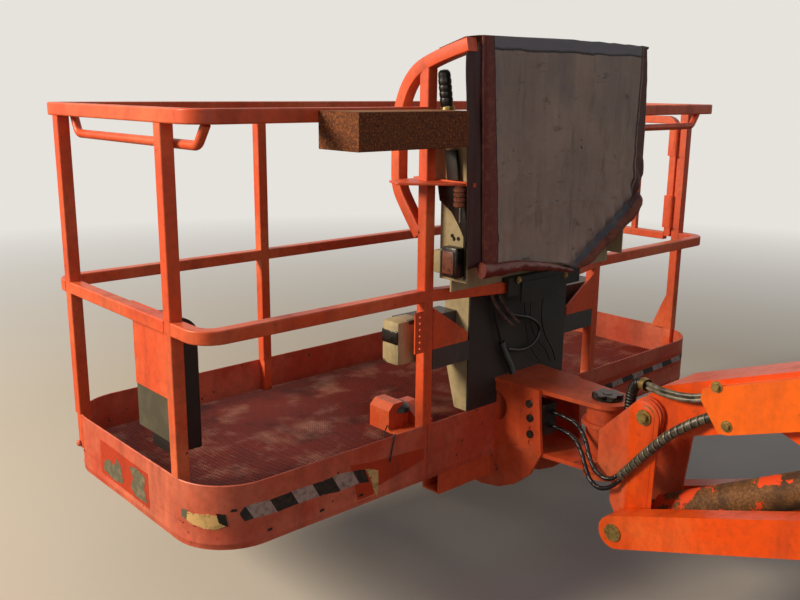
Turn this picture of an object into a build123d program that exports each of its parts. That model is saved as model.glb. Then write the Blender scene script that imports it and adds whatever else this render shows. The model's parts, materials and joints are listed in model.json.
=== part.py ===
from build123d import *
import os
from math import cos, pi, radians, sin, tan

# Work platform of a boom lift, with its console, rotator and jib.
# +X runs along the platform's long side, +Y from the jib in to the far side, +Z up.
# The origin is the centre of the boom pin bore in the jib's base bracket.

os.makedirs("parts", exist_ok=True)

# Jib linkage: two equal arms between the base bracket and the head
arm_length = 1240
arm_slope = 20
pin_drop = 360
pin_setback = 33
base_lower_y = 110
base_lower_z = -40

head_lower_y = base_lower_y + arm_length * cos(radians(arm_slope))
head_lower_z = base_lower_z - arm_length * sin(radians(arm_slope))
base_upper_y = base_lower_y - pin_setback
base_upper_z = base_lower_z + pin_drop
head_upper_y = head_lower_y - pin_setback
head_upper_z = head_lower_z + pin_drop

# Rotator and platform, placed from the head's lower pin
swing_reach = 177
axis_y = head_lower_y + swing_reach
near = axis_y + 370
deck = head_lower_z + 50

# Platform
length = 2440
width = 930
toe_height = 187
toe_corner = 175
sheet = 4
flange = 40
floor_top = 66
rail_top = 1170
mid_rail_top = 624
tube = 38
rail_bend = 60
far = near + width
left = -length / 2
right = length / 2
centre_post = 433
seam = 430
seam_gap = 1.5
side_gap = 2

# Arms, pins and head
upper_width = 180
upper_height = 150
lower_inner = 120
lower_outer = 192
lower_height = 100
pin_radius = 20
pin_gap = 0.08
plate_in = 92
plate_out = 102
doubler_out = 110
guard_out = 126
guard_wall = 4

# Lift cylinder, from the head's lower pin up to the upper arm's deep side plates
lug_along = 1120
lug_below = 145
barrel_radius = 50
rod_radius = 28
barrel_length = 740
rod_overlap = 210

# Rotator
actuator_radius = 62
actuator_bottom = deck + 20
actuator_top = deck + 261
yoke_half = 105
yoke_plate = 12
yoke_top = deck + 277


def path_tube(points, bend, size_u, size_v, inner=0):
    """Sweep a rounded rectangular bar along a level or upright bent centreline."""
    with BuildPart() as bar:
        with BuildLine() as path:
            if len(points) > 2:
                FilletPolyline(*points, radius=bend)
            else:
                Line(*points)
        start = path.line @ 0
        along = path.line % 0
        side = along.cross(Vector(0, 0, 1))
        across = side if side.length > 0.01 else Vector(1, 0, 0)
        with BuildSketch(Plane(origin=start, x_dir=across, z_dir=along)):
            RectangleRounded(size_u, size_v, min(size_u, size_v) * 0.12)
            if inner:
                offset(amount=-inner, mode=Mode.SUBTRACT)
        sweep(path=path.line)
    return bar.part


def level_bar(points, top, bend=rail_bend):
    """Square rail at one height, from its centreline in plan."""
    z = deck + top - tube / 2
    return path_tube([(x, y, z) for x, y in points], bend, tube, tube)


def block(x0, x1, y0, y1, z0, z1):
    """Rectangular block between six faces."""
    with BuildPart() as body:
        with Locations(((x0 + x1) / 2, (y0 + y1) / 2, (z0 + z1) / 2)):
            Box(x1 - x0, y1 - y0, z1 - z0)
    return body.part


def cross_pin(y, z, half_length, radius):
    """Pin along X with a thin head on each end."""
    with BuildPart() as pin:
        with BuildSketch(Plane.YZ.offset(-half_length)):
            with Locations((y, z)):
                Circle(radius)
        extrude(amount=2 * half_length)
        for face in (-half_length - 4, half_length):
            with BuildSketch(Plane.YZ.offset(face)):
                with Locations((y, z)):
                    Circle(radius * 1.35)
            extrude(amount=4)
    return pin.part


def stub_pin(y, z, face_from, face_to, radius):
    """Pin along X between two faces, with a head on its outer end."""
    outward = 1 if face_to > face_from else -1
    with BuildPart() as pin:
        with BuildSketch(Plane.YZ.offset(face_from)):
            with Locations((y, z)):
                Circle(radius)
        extrude(amount=face_to - face_from)
        with BuildSketch(Plane.YZ.offset(face_to)):
            with Locations((y, z)):
                Circle(radius * 1.35)
        extrude(amount=4 * outward)
    return pin.part


def hose(points, diameter, largest=1000):
    """Round hose along straight runs joined by arcs as large as the runs allow."""
    corners = [Vector(*p) for p in points]
    radii = []
    for before, corner, after in zip(corners, corners[1:], corners[2:]):
        turn = (corner - before).get_angle(after - corner)
        shorter = min((corner - before).length, (after - corner).length)
        radii.append(min(largest, 0.45 * shorter / tan(radians(turn / 2))))
    with BuildPart() as body:
        with BuildLine() as route:
            FilletPolyline(*points, radius=radii)
        with BuildSketch(Plane(origin=route.line @ 0, z_dir=route.line % 0)):
            Circle(diameter / 2)
        sweep(path=route.line)
    length_along = sum(edge.length for edge in route.line.edges())
    print("hose", diameter, "length", round(length_along), "radii", [round(r) for r in radii])
    print("  volume over section times length",
          round(body.part.volume / (length_along * pi * diameter ** 2 / 4), 4))
    return body.part


# Toeboards: a folded sheet round the deck, in four sections
def toeboard_ring():
    with BuildPart() as ring:
        for bottom, height, depth in (
            (deck, toe_height, sheet),
            (deck + toe_height - sheet, sheet, flange),
            (deck, sheet, flange * 0.6),
        ):
            with BuildSketch(Plane.XY.offset(bottom)):
                with Locations((0, near + width / 2)):
                    RectangleRounded(length, width, toe_corner)
                offset(amount=-depth, mode=Mode.SUBTRACT)
            extrude(amount=height)
        with BuildSketch(Plane.XY.offset(deck + toe_height - 15)):
            with Locations((0, near + width / 2)):
                RectangleRounded(length - 2 * flange + 2 * sheet, width - 2 * flange + 2 * sheet,
                                 toe_corner - flange + sheet)
            offset(amount=-sheet, mode=Mode.SUBTRACT)
        extrude(amount=15)
    return ring.part


whole_ring = toeboard_ring()
toe_sections = [
    # name, x from, x to, y from, y to
    ("toeboard_left", -length, -seam - seam_gap / 2, near - 1, far + 1),
    ("toeboard_right", seam + seam_gap / 2, length, near - 1, far + 1),
    ("toeboard_near", -seam + seam_gap / 2, seam - seam_gap / 2, near - 1, near + width / 2),
    ("toeboard_far", -seam + seam_gap / 2, seam - seam_gap / 2, near + width / 2, far + 1),
]
for name, x0, x1, y0, y1 in toe_sections:
    with BuildPart() as toeboard:
        add(whole_ring)
        add(block(x0, x1, y0, y1, deck - 1, deck + toe_height + 1), mode=Mode.INTERSECT)
    toeboard.part.label = name
    export_step(toeboard.part, f"parts/{name}.step")

# Floor: a ladder frame inside the toeboards, and the mesh on top of it
mesh_thickness = 6
frame_height = 34
frame_top = floor_top - mesh_thickness
inset = sheet + 1
with BuildPart() as floor_frame:
    with BuildSketch(Plane.XY.offset(deck + frame_top - frame_height)):
        with Locations((0, near + width / 2)):
            RectangleRounded(length - 2 * inset, width - 2 * inset, toe_corner - inset)
        offset(amount=-tube, mode=Mode.SUBTRACT)
        cross_pitch = length / 6
        with Locations((0, near + width / 2)):
            with GridLocations(cross_pitch, 0, 5, 1):
                Rectangle(tube, width - 2 * inset - tube)
    extrude(amount=frame_height)
floor_frame.part.label = "floor_frame"
export_step(floor_frame.part, "parts/floor_frame.step")

with BuildPart() as floor_mesh:
    with BuildSketch(Plane.XY.offset(deck + frame_top)):
        with Locations((0, near + width / 2)):
            RectangleRounded(length - 2 * inset, width - 2 * inset, toe_corner - inset)
    extrude(amount=mesh_thickness)
floor_mesh.part.label = "floor_mesh"
export_step(floor_mesh.part, "parts/floor_mesh.step")

# Guard posts stand on the toeboards' top flange, under the top rail
half = tube / 2
post_bottom = deck + toe_height
post_top = deck + rail_top - tube
near_line = near + tube / 2
far_line = far - tube / 2
left_line = left + tube / 2
right_line = right - tube / 2
left_post_near = near + 172
left_post_far = far - 115
right_post_near = near + 134
right_post_far = far - 170
posts = [
    # node, centre x, centre y
    ("posts_far", -centre_post, far_line),
    ("posts_far", centre_post, far_line),
    ("posts_left", left_line, left_post_near),
    ("posts_left", left_line, left_post_far),
    ("posts_right", right_line, right_post_near),
    ("posts_right", right_line, right_post_far),
]
foot_run = 70
foot_rise = 171
for node in ("posts_far", "posts_left", "posts_right"):
    with BuildPart() as post_pair:
        with BuildSketch(Plane.XY.offset(post_bottom)):
            with Locations([(x, y) for name, x, y in posts if name == node]):
                RectangleRounded(tube, tube, tube * 0.12)
        extrude(amount=post_top - post_bottom)
        if node == "posts_right":
            with BuildSketch(Plane.YZ.offset(right_line - 3)):
                with BuildLine():
                    Polyline(
                        (right_post_near + half, post_bottom),
                        (right_post_near + half + foot_run, post_bottom),
                        (right_post_near + half, post_bottom + foot_rise),
                        close=True,
                    )
                make_face()
            extrude(amount=6)
    post_pair.part.label = node
    export_step(post_pair.part, f"parts/{node}.step")

# Top rail: round both ends and along the far side, open across the console
inner_post_face = centre_post - tube / 2
near_stop = centre_post + tube / 2
rail_runs = [
    # node, height of the top face, plan points
    ("top_rail_left", rail_top,
     [(-near_stop, near_line), (left_line, near_line), (left_line, far_line), (-near_stop, far_line)]),
    ("top_rail_far", rail_top, [(-near_stop + 0.5, far_line), (near_stop - 0.5, far_line)]),
    ("top_rail_right", rail_top,
     [(near_stop, near_line), (right_line, near_line), (right_line, far_line), (near_stop, far_line)]),
]
for node, top, points in rail_runs:
    with BuildPart() as top_rail:
        add(level_bar(points, top))
    top_rail.part.label = node
    export_step(top_rail.part, f"parts/{node}.step")

# Mid rails butt against the posts, so each run stops at a post's face
with BuildPart() as mid_rail_left:
    add(level_bar([(-near_stop, near_line), (left_line, near_line), (left_line, left_post_near - half)],
                  mid_rail_top))
    add(level_bar([(left_line, left_post_near + half), (left_line, left_post_far - half)], mid_rail_top))
    add(level_bar([(left_line, left_post_far + half), (left_line, far_line), (-near_stop, far_line)],
                  mid_rail_top))
mid_rail_left.part.label = "mid_rail_left"
export_step(mid_rail_left.part, "parts/mid_rail_left.step")

with BuildPart() as mid_rail_far:
    add(level_bar([(-inner_post_face, far_line), (inner_post_face, far_line)], mid_rail_top))
mid_rail_far.part.label = "mid_rail_far"
export_step(mid_rail_far.part, "parts/mid_rail_far.step")

with BuildPart() as mid_rail_right:
    add(level_bar([(near_stop, near_line), (right_line, near_line), (right_line, right_post_near - half)],
                  mid_rail_top))
    add(level_bar([(right_line, right_post_far + half), (right_line, far_line), (near_stop, far_line)],
                  mid_rail_top))
mid_rail_right.part.label = "mid_rail_right"
export_step(mid_rail_right.part, "parts/mid_rail_right.step")

# Bowed rail: swings out round the support column, between the two near posts
bow_depth = 70
bow_run = 270
with BuildPart() as bowed_rail:
    add(level_bar([
        (-centre_post, near_line),
        (-centre_post + bow_run, near_line - bow_depth),
        (centre_post - bow_run, near_line - bow_depth),
        (centre_post, near_line),
    ], mid_rail_top, bend=90))
    for x in (-centre_post, centre_post):
        add(block(x - half, x + half, near, near + tube, deck, deck + rail_top), mode=Mode.SUBTRACT)
bowed_rail.part.label = "bowed_rail"
export_step(bowed_rail.part, "parts/bowed_rail.step")

# Console guard hoops: one at each near post, bent in an upright plane
hoop_top = 1363
hoop_out = 150
hoop_in = 142
hoop_points = [
    # out from the near face, height
    (-hoop_out, hoop_top - 22),
    (30, hoop_top - 72),
    (hoop_in, hoop_top - 190),
    (hoop_in, 930),
    (tube, 790),
]
hoops = [("console_hoop_left", -centre_post), ("console_hoop_right", centre_post)]
with BuildPart() as posts_near:
    with BuildSketch(Plane.XY.offset(post_bottom)):
        with Locations([(x, near_line) for name, x in hoops]):
            RectangleRounded(tube, tube, tube * 0.12)
    extrude(amount=deck + hoop_top - 70 - post_bottom)
    for name, x in hoops:
        add(path_tube([(x, near + y, deck + z) for y, z in hoop_points[:4]], 75, tube + 2, tube),
            mode=Mode.SUBTRACT)
posts_near.part.label = "posts_near"
export_step(posts_near.part, "parts/posts_near.step")

for node, x in hoops:
    with BuildPart() as hoop:
        add(path_tube([(x, near + y, deck + z) for y, z in hoop_points], 75, tube, tube))
        add(block(x - tube, x + tube, near - 1, near + tube, deck, deck + 1000), mode=Mode.SUBTRACT)
    hoop.part.label = node
    export_step(hoop.part, f"parts/{node}.step")

# Rotator: the actuator's round body, its splined end cap, and the yoke that it turns
with BuildPart() as rotator_body:
    with BuildSketch(Plane.XY.offset(actuator_bottom)):
        with Locations((0, axis_y)):
            Circle(actuator_radius)
    extrude(amount=actuator_top - actuator_bottom)
rotator_body.part.label = "rotator_body"
export_step(rotator_body.part, "parts/rotator_body.step")

cap_radius = 48
cap_points = 12
cap_height = 16
with BuildPart() as rotator_cap:
    with BuildSketch(Plane.XY.offset(yoke_top)):
        with Locations((0, axis_y)):
            Circle(cap_radius - 4)
            with PolarLocations(cap_radius - 5, cap_points):
                Circle(6)
            Circle(cap_radius * 0.45, mode=Mode.SUBTRACT)
    extrude(amount=cap_height)
    with BuildSketch(Plane.XY.offset(yoke_top)):
        with Locations((0, axis_y)):
            Circle(cap_radius * 0.45)
    extrude(amount=cap_height - 6)
rotator_cap.part.label = "rotator_cap"
export_step(rotator_cap.part, "parts/rotator_cap.step")

lobe_outline = [
    # y from the near face, z from the sheets' bottom edge
    (0, yoke_top - deck),
    (-185, yoke_top - deck),
    (-195, 150),
    (-205, 62),
    (-159, -27),
    (-97, -80),
    (-31, -112),
    (50, -128),
    (120, -124),
    (126, -100),
    (80, -76),
    (0, -1),
]
notch_z = 178
tube_bottom = -80
tube_top = -1
tube_from = 14
tube_to = 92
tube_reach = 360
cap_plate = 14
arm_plate_z = 50
scallop_y = -158
scallop_z = 162
scallop_pitch = 48
scallop_count = 4
scallop_radius = 9
scallop_depth = 4
arm_end = 80
with BuildPart() as yoke:
    for x in (-yoke_half, yoke_half):
        with BuildSketch(Plane.YZ.offset(x - yoke_plate / 2)):
            with BuildLine():
                Polyline(*[(near + y, deck + z) for y, z in lobe_outline], close=True)
            make_face()
            with Locations((near, deck + notch_z)):
                Circle(52, mode=Mode.SUBTRACT)
            with Locations((near - 15, deck - 45)):
                Circle(11, mode=Mode.SUBTRACT)
        extrude(amount=yoke_plate)
    for x, depth in ((-yoke_half - yoke_plate / 2, scallop_depth), (yoke_half + yoke_plate / 2, -scallop_depth)):
        with BuildSketch(Plane.YZ.offset(x)):
            with Locations((near + scallop_y, deck + scallop_z)):
                with GridLocations(0, scallop_pitch, 1, scallop_count):
                    Circle(scallop_radius)
        extrude(amount=depth, mode=Mode.SUBTRACT)
    for z, thickness, root in ((yoke_top - cap_plate, cap_plate, 0), (deck + arm_plate_z, cap_plate, -100)):
        with BuildSketch(Plane.XY.offset(z)):
            with BuildLine():
                Polyline(
                    (-yoke_half - 12, near + root),
                    (yoke_half + 12, near + root),
                    (arm_end, axis_y),
                    (-arm_end, axis_y),
                    close=True,
                )
            make_face()
            with Locations((0, axis_y)):
                Circle(arm_end)
            with Locations((0, axis_y)):
                Circle(actuator_radius + 1, mode=Mode.SUBTRACT)
        extrude(amount=thickness)
    with BuildSketch(Plane.XY.offset(yoke_top - cap_plate)):
        with Locations((0, axis_y)):
            Circle(actuator_radius + 2)
    extrude(amount=cap_plate)
    add(block(-yoke_half, yoke_half, near - 12, near, deck + 1, yoke_top))
    add(block(-tube_reach, tube_reach, near + tube_from, near + tube_to, deck + tube_bottom, deck + tube_top))
    add(block(-tube_reach - 1, tube_reach + 1, near + tube_from + 6, near + tube_to - 6,
              deck + tube_bottom + 6, deck + tube_top - 6), mode=Mode.SUBTRACT)
yoke.part.label = "rotator_yoke"
export_step(yoke.part, "parts/rotator_yoke.step")

# Jib head: two side plates from the actuator to the arm pins, with doublers and webs
head_nose_high = deck + 204
head_nose_low = deck + 95
swing_notch_y = axis_y - 100
swing_notch_z = deck + 72
with BuildPart() as jib_head:
    for x in (-plate_out, plate_in):
        with BuildSketch(Plane.YZ.offset(x)):
            with Locations((head_upper_y, head_upper_z)):
                Circle(50)
            with Locations((head_lower_y, head_lower_z)):
                Circle(44)
            with Locations((axis_y - 62, head_nose_high), (axis_y - 62, head_nose_low)):
                Circle(16)
            make_hull()
            with Locations((head_upper_y, head_upper_z), (head_lower_y, head_lower_z)):
                Circle(pin_radius + pin_gap, mode=Mode.SUBTRACT)
        extrude(amount=plate_out - plate_in)
    for x in (-doubler_out, plate_out):
        with BuildSketch(Plane.YZ.offset(x)):
            with Locations((head_upper_y, head_upper_z)):
                Circle(46)
            with Locations((head_lower_y, head_lower_z)):
                Circle(40)
            make_hull()
            with Locations((head_upper_y, head_upper_z), (head_lower_y, head_lower_z)):
                Circle(pin_radius + pin_gap, mode=Mode.SUBTRACT)
        extrude(amount=doubler_out - plate_out)
    add(block(-doubler_out, doubler_out, swing_notch_y, axis_y, deck - 60, swing_notch_z), mode=Mode.SUBTRACT)
    for z, web_back in ((deck + 85, 98), (deck + 192, 132)):
        with BuildSketch(Plane.XY.offset(z)):
            with Locations((0, axis_y - (web_back + 46) / 2)):
                Rectangle(2 * plate_in, web_back - 46)
            with Locations((0, axis_y)):
                Circle(actuator_radius + 12)
            with Locations((0, axis_y)):
                Circle(actuator_radius, mode=Mode.SUBTRACT)
        extrude(amount=14)
jib_head.part.label = "jib_head"
export_step(jib_head.part, "parts/jib_head.step")

# Pins: the head's two, the lower one also through the cylinder's eye, and the bracket's two
with BuildPart() as head_pins:
    add(cross_pin(head_upper_y, head_upper_z, doubler_out, pin_radius))
    add(cross_pin(head_lower_y, head_lower_z, lower_outer, pin_radius))
head_pins.part.label = "head_pins"
export_step(head_pins.part, "parts/head_pins.step")

# Upper arm: an inverted channel whose side plates grow deep for the cylinder's rod pin
slope = radians(arm_slope)
to_base = (0, -cos(slope), sin(slope))
upper_plane = Plane(origin=(0, head_upper_y, head_upper_z), x_dir=to_base, z_dir=(-1, 0, 0))
lower_plane = Plane(origin=(0, head_lower_y, head_lower_z), x_dir=to_base, z_dir=(-1, 0, 0))
side_wall = 12
end_radius = 62
nose_radius = 48
hub_wall = 16
half_high = upper_height / 2
belly_from = 370
belly_full = 490
belly_end = lug_along + 40
belly_low = lug_below + 32
side_in = upper_width / 2 - side_wall
with BuildPart() as upper_arm:
    for x in (side_in, -upper_width / 2):
        with BuildSketch(upper_plane.offset(x)):
            with Locations((0, 0)):
                Circle(nose_radius)
            with Locations((arm_length, 0)):
                Circle(end_radius)
            with Locations((arm_length / 2, 0)):
                Rectangle(arm_length - 2 * end_radius, upper_height)
            make_hull()
            with BuildLine():
                Polyline(
                    (belly_from, -half_high + 2),
                    (belly_full, -belly_low),
                    (lug_along - 20, -belly_low),
                    (belly_end - 4, -belly_low + 25),
                    (belly_end, -half_high + 2),
                    close=True,
                )
            make_face()
            with Locations((0, 0), (arm_length, 0)):
                Circle(pin_radius + pin_gap, mode=Mode.SUBTRACT)
        extrude(amount=side_wall)
    with BuildSketch(upper_plane.offset(-side_in)):
        with Locations((arm_length / 2, half_high - side_wall / 2)):
            Rectangle(arm_length - 2 * end_radius, side_wall)
        with Locations((0, 0), (arm_length, 0)):
            Circle(pin_radius + hub_wall)
            Circle(pin_radius + pin_gap, mode=Mode.SUBTRACT)
    extrude(amount=2 * side_in)
upper_arm.part.label = "upper_arm"
export_step(upper_arm.part, "parts/upper_arm.step")

# Hose guard: a folded cover bolted to the near side, with a shorter flange below
guard_from = 205
guard_to = 1060
guard_low = -71
guard_high = 61
guard_cut = 14
lower_flange_from = 310
lower_flange_to = 920
flange_height = 10
with BuildPart() as hose_guard:
    with BuildSketch(upper_plane.offset(guard_out - guard_wall)):
        with BuildLine():
            Polyline(
                (guard_from - guard_cut, guard_high - 2 * guard_cut),
                (guard_from, guard_high),
                (guard_to, guard_high),
                (guard_to, guard_low),
                (guard_from + 3 * guard_cut, guard_low),
                (guard_from + guard_cut, guard_low + guard_cut / 2),
                close=True,
            )
        make_face()
    extrude(amount=guard_wall)
    for n, along_from, along_to in (
        (guard_low, lower_flange_from, lower_flange_to),
        (guard_high - flange_height, guard_from, guard_to),
    ):
        with BuildSketch(upper_plane.offset(upper_width / 2)):
            with Locations(((along_from + along_to) / 2, n + flange_height / 2)):
                Rectangle(along_to - along_from, flange_height)
        extrude(amount=guard_out - guard_wall - upper_width / 2)
hose_guard.part.label = "hose_guard"
export_step(hose_guard.part, "parts/hose_guard.step")

# Lower arm: twin tubes outside the head's and the bracket's plates
with BuildPart() as lower_arm:
    for x in (lower_inner, -lower_outer):
        with BuildSketch(lower_plane.offset(x)):
            with Locations((0, 0), (arm_length, 0)):
                Circle(lower_height / 2)
            with Locations((arm_length / 2, 0)):
                Rectangle(arm_length, lower_height)
            with Locations((0, 0), (arm_length, 0)):
                Circle(pin_radius + pin_gap, mode=Mode.SUBTRACT)
        extrude(amount=lower_outer - lower_inner)
lower_arm.part.label = "lower_arm"
export_step(lower_arm.part, "parts/lower_arm.step")

# Base bracket: plates, the boom pin hub and a cross tube behind the upper pin
hub_radius = 42
hub_bore = 30
level_y = -105
level_z = 75
level_bore = 17
brace_y = base_upper_y - 85
brace_z = base_upper_z + 85
with BuildPart() as base_bracket:
    for x in (-plate_out, plate_in):
        with BuildSketch(Plane.YZ.offset(x)):
            with Locations((base_upper_y, base_upper_z)):
                Circle(58)
            with Locations((brace_y, brace_z)):
                Circle(28)
            with Locations((base_lower_y, base_lower_z)):
                Circle(46)
            with Locations((0, 0)):
                Circle(hub_radius + 14)
            with Locations((level_y, level_z)):
                Circle(2 * level_bore)
            make_hull()
            with Locations((base_upper_y, base_upper_z), (base_lower_y, base_lower_z)):
                Circle(pin_radius + pin_gap, mode=Mode.SUBTRACT)
            with Locations((0, 0)):
                Circle(hub_bore, mode=Mode.SUBTRACT)
            with Locations((level_y, level_z)):
                Circle(level_bore, mode=Mode.SUBTRACT)
        extrude(amount=plate_out - plate_in)
    with BuildSketch(Plane.YZ.offset(-plate_out)):
        Circle(hub_radius)
        Circle(hub_bore, mode=Mode.SUBTRACT)
    extrude(amount=2 * plate_out)
    with BuildSketch(Plane.YZ.offset(-plate_in)):
        with Locations((brace_y, brace_z)):
            Circle(18)
    extrude(amount=2 * plate_in)
base_bracket.part.label = "base_bracket"
export_step(base_bracket.part, "parts/base_bracket.step")

with BuildPart() as base_pins:
    add(cross_pin(base_upper_y, base_upper_z, plate_out, pin_radius))
    for side in (-1, 1):
        add(stub_pin(base_lower_y, base_lower_z, side * plate_in, side * lower_outer, pin_radius))
base_pins.part.label = "base_pins"
export_step(base_pins.part, "parts/base_pins.step")

# Lift cylinder: barrel and rod on the line between their pins
lug_y = head_upper_y - lug_along * cos(slope) - lug_below * sin(slope)
lug_z = head_upper_z + lug_along * sin(slope) - lug_below * cos(slope)
stroke_line = Vector(0, lug_y - head_lower_y, lug_z - head_lower_z)
eye_distance = stroke_line.length
cylinder_plane = Plane(origin=(0, head_lower_y, head_lower_z), x_dir=stroke_line.normalized(), z_dir=(-1, 0, 0))
cross_section = Plane(origin=(0, head_lower_y, head_lower_z), x_dir=(1, 0, 0), z_dir=stroke_line.normalized())
eye_radius = 34
eye_half = 30
barrel_from = 60
barrel_base = 20
with BuildPart() as lift_barrel:
    with BuildSketch(cross_section.offset(barrel_from)):
        Circle(barrel_radius)
    extrude(amount=barrel_length - barrel_from)
    with BuildSketch(cylinder_plane):
        Circle(eye_radius)
        with Locations((barrel_from / 2, 0)):
            Rectangle(barrel_from + 4, 2 * eye_radius - 8)
    extrude(amount=eye_half, both=True)
    with BuildSketch(cylinder_plane):
        Circle(pin_radius + pin_gap)
    extrude(amount=eye_half, both=True, mode=Mode.SUBTRACT)
    with BuildSketch(cross_section.offset(barrel_from + barrel_base)):
        Circle(rod_radius + pin_gap)
    extrude(amount=barrel_length, mode=Mode.SUBTRACT)
lift_barrel.part.label = "lift_barrel"
export_step(lift_barrel.part, "parts/lift_barrel.step")

# The rod's pin rides with its eye, clear of the side plates, whose bosses show outside
with BuildPart() as lift_rod:
    with BuildSketch(cross_section.offset(barrel_length - rod_overlap)):
        Circle(rod_radius)
    extrude(amount=eye_distance - barrel_length + rod_overlap - eye_radius + 6)
    with BuildSketch(cylinder_plane):
        with Locations((eye_distance, 0)):
            Circle(eye_radius)
    extrude(amount=eye_half, both=True)
    with BuildSketch(cylinder_plane):
        with Locations((eye_distance, 0)):
            Circle(pin_radius)
    extrude(amount=side_in - side_gap, both=True)
lift_rod.part.label = "lift_rod"
export_step(lift_rod.part, "parts/lift_rod.step")

# Support column and beams between the near posts
column_half = 250
column_top = 600
beam_low = 366
beam_high = 432
with BuildPart() as support_column:
    add(block(-column_half, column_half, near, near + 6, deck + toe_height, deck + column_top))
    for x in (-column_half, column_half - 6):
        with BuildSketch(Plane.YZ.offset(x)):
            with BuildLine():
                Polyline(
                    (near, deck + toe_height),
                    (near + 60, deck + toe_height),
                    (near + 112, deck + beam_low),
                    (near + 112, deck + 560),
                    (near + 70, deck + column_top),
                    (near, deck + column_top),
                    close=True,
                )
            make_face()
        extrude(amount=6)
    add(block(-column_half, column_half, near, near + 70, deck + column_top - 6, deck + column_top))
support_column.part.label = "support_column"
export_step(support_column.part, "parts/support_column.step")

with BuildPart() as lower_beams:
    for x0, x1 in ((-inner_post_face, -column_half), (column_half, inner_post_face)):
        add(block(x0, x1, near, near + 60, deck + beam_low, deck + beam_high))
lower_beams.part.label = "lower_beams"
export_step(lower_beams.part, "parts/lower_beams.step")

beam_left = -460
beam_right = 520
with BuildPart() as cross_beam:
    for x0, x1 in ((beam_left, -column_half), (column_half, beam_right)):
        add(block(x0, x1, near + 60, near + 140, deck + 432, deck + 520))
cross_beam.part.label = "cross_beam"
export_step(cross_beam.part, "parts/cross_beam.step")

strip_width = 38
strip_low = 430
strip_high = 560
strip_pitch = 20
gusset_outline = [(-inner_post_face, 565), (-column_half - 8, 462), (-column_half - 8, beam_high), (-inner_post_face, beam_high)]
with BuildPart() as gussets:
    for sign in (1, -1):
        with BuildSketch(Plane.XZ.offset(-near)):
            with BuildLine():
                Polyline(*[(sign * x, deck + z) for x, z in gusset_outline], close=True)
            make_face()
        extrude(amount=-8)
    with BuildSketch(Plane.XZ.offset(-near)):
        with Locations((-near_stop - strip_width / 2, deck + (strip_low + strip_high) / 2)):
            Rectangle(strip_width, strip_high - strip_low)
            with GridLocations(0, strip_pitch, 1, 6):
                Circle(4, mode=Mode.SUBTRACT)
    extrude(amount=-5)
gussets.part.label = "gussets"
export_step(gussets.part, "parts/gussets.step")

# Console: shelf plate, housing, side plate, tray, joystick and small boxes
shelf_z = 948
console_bottom = shelf_z + 12
console_top = 1150
with BuildPart() as console_shelf:
    add(block(-412, 412, near - 150, near + 100, deck + shelf_z, deck + console_bottom))
console_shelf.part.label = "console_shelf"
export_step(console_shelf.part, "parts/console_shelf.step")

with BuildPart() as console_box:
    with BuildSketch(Plane.YZ.offset(-395)):
        with BuildLine():
            Polyline(
                (near - 145, deck + console_bottom),
                (near + 90, deck + console_bottom),
                (near + 90, deck + console_top - 60),
                (near + 20, deck + console_top),
                (near - 145, deck + console_top),
                close=True,
            )
        make_face()
    extrude(amount=790)
console_box.part.label = "console_box"
export_step(console_box.part, "parts/console_box.step")

with BuildPart() as joystick:
    with BuildSketch(Plane.XY.offset(deck + console_top)):
        with Locations((-354, near - 20)):
            Circle(18)
    extrude(amount=12)
    with BuildSketch(Plane.XY.offset(deck + console_top + 12)):
        with Locations((-354, near - 20)):
            Circle(14)
    extrude(amount=110)
joystick.part.label = "joystick"
export_step(joystick.part, "parts/joystick.step")

stand_half = 400
stand_wall = 6
with BuildPart() as console_stand:
    for x in (-stand_half, stand_half - stand_wall):
        with BuildSketch(Plane.YZ.offset(x)):
            with BuildLine():
                Line((near - 9, deck + 660), (near - 121, deck + 660))
                Line((near - 121, deck + 660), (near - 121, deck + 760))
                ThreePointArc((near - 121, deck + 760), (near - 98, deck + 830), (near - 50, deck + 884))
                Line((near - 50, deck + 884), (near - 50, deck + shelf_z))
                Line((near - 50, deck + shelf_z), (near - 9, deck + shelf_z))
                Line((near - 9, deck + shelf_z), (near - 9, deck + 660))
            make_face()
            with Locations((near - 66, deck + 787)):
                Circle(7, mode=Mode.SUBTRACT)
        extrude(amount=stand_wall)
    add(block(-stand_half, stand_half, near - 60, near - 54, deck + mid_rail_top, deck + shelf_z))
console_stand.part.label = "console_stand"
export_step(console_stand.part, "parts/console_stand.step")

tray_out = 90
gland_from = 660
with BuildPart() as console_tray:
    add(block(-170, 200, near - tray_out, near - 60, deck + mid_rail_top, deck + mid_rail_top + 14))
    add(block(-170, 200, near - tray_out, near - tray_out + 8, deck + mid_rail_top - 44, deck + mid_rail_top + 14))
    add(block(-110, 70, near - tray_out - 4, near - tray_out, deck + 552, deck + mid_rail_top - 4))
    add(block(-195, -112, near - 54, near - 4, deck + gland_from, deck + gland_from + 42))
console_tray.part.label = "console_tray"
export_step(console_tray.part, "parts/console_tray.step")

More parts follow.
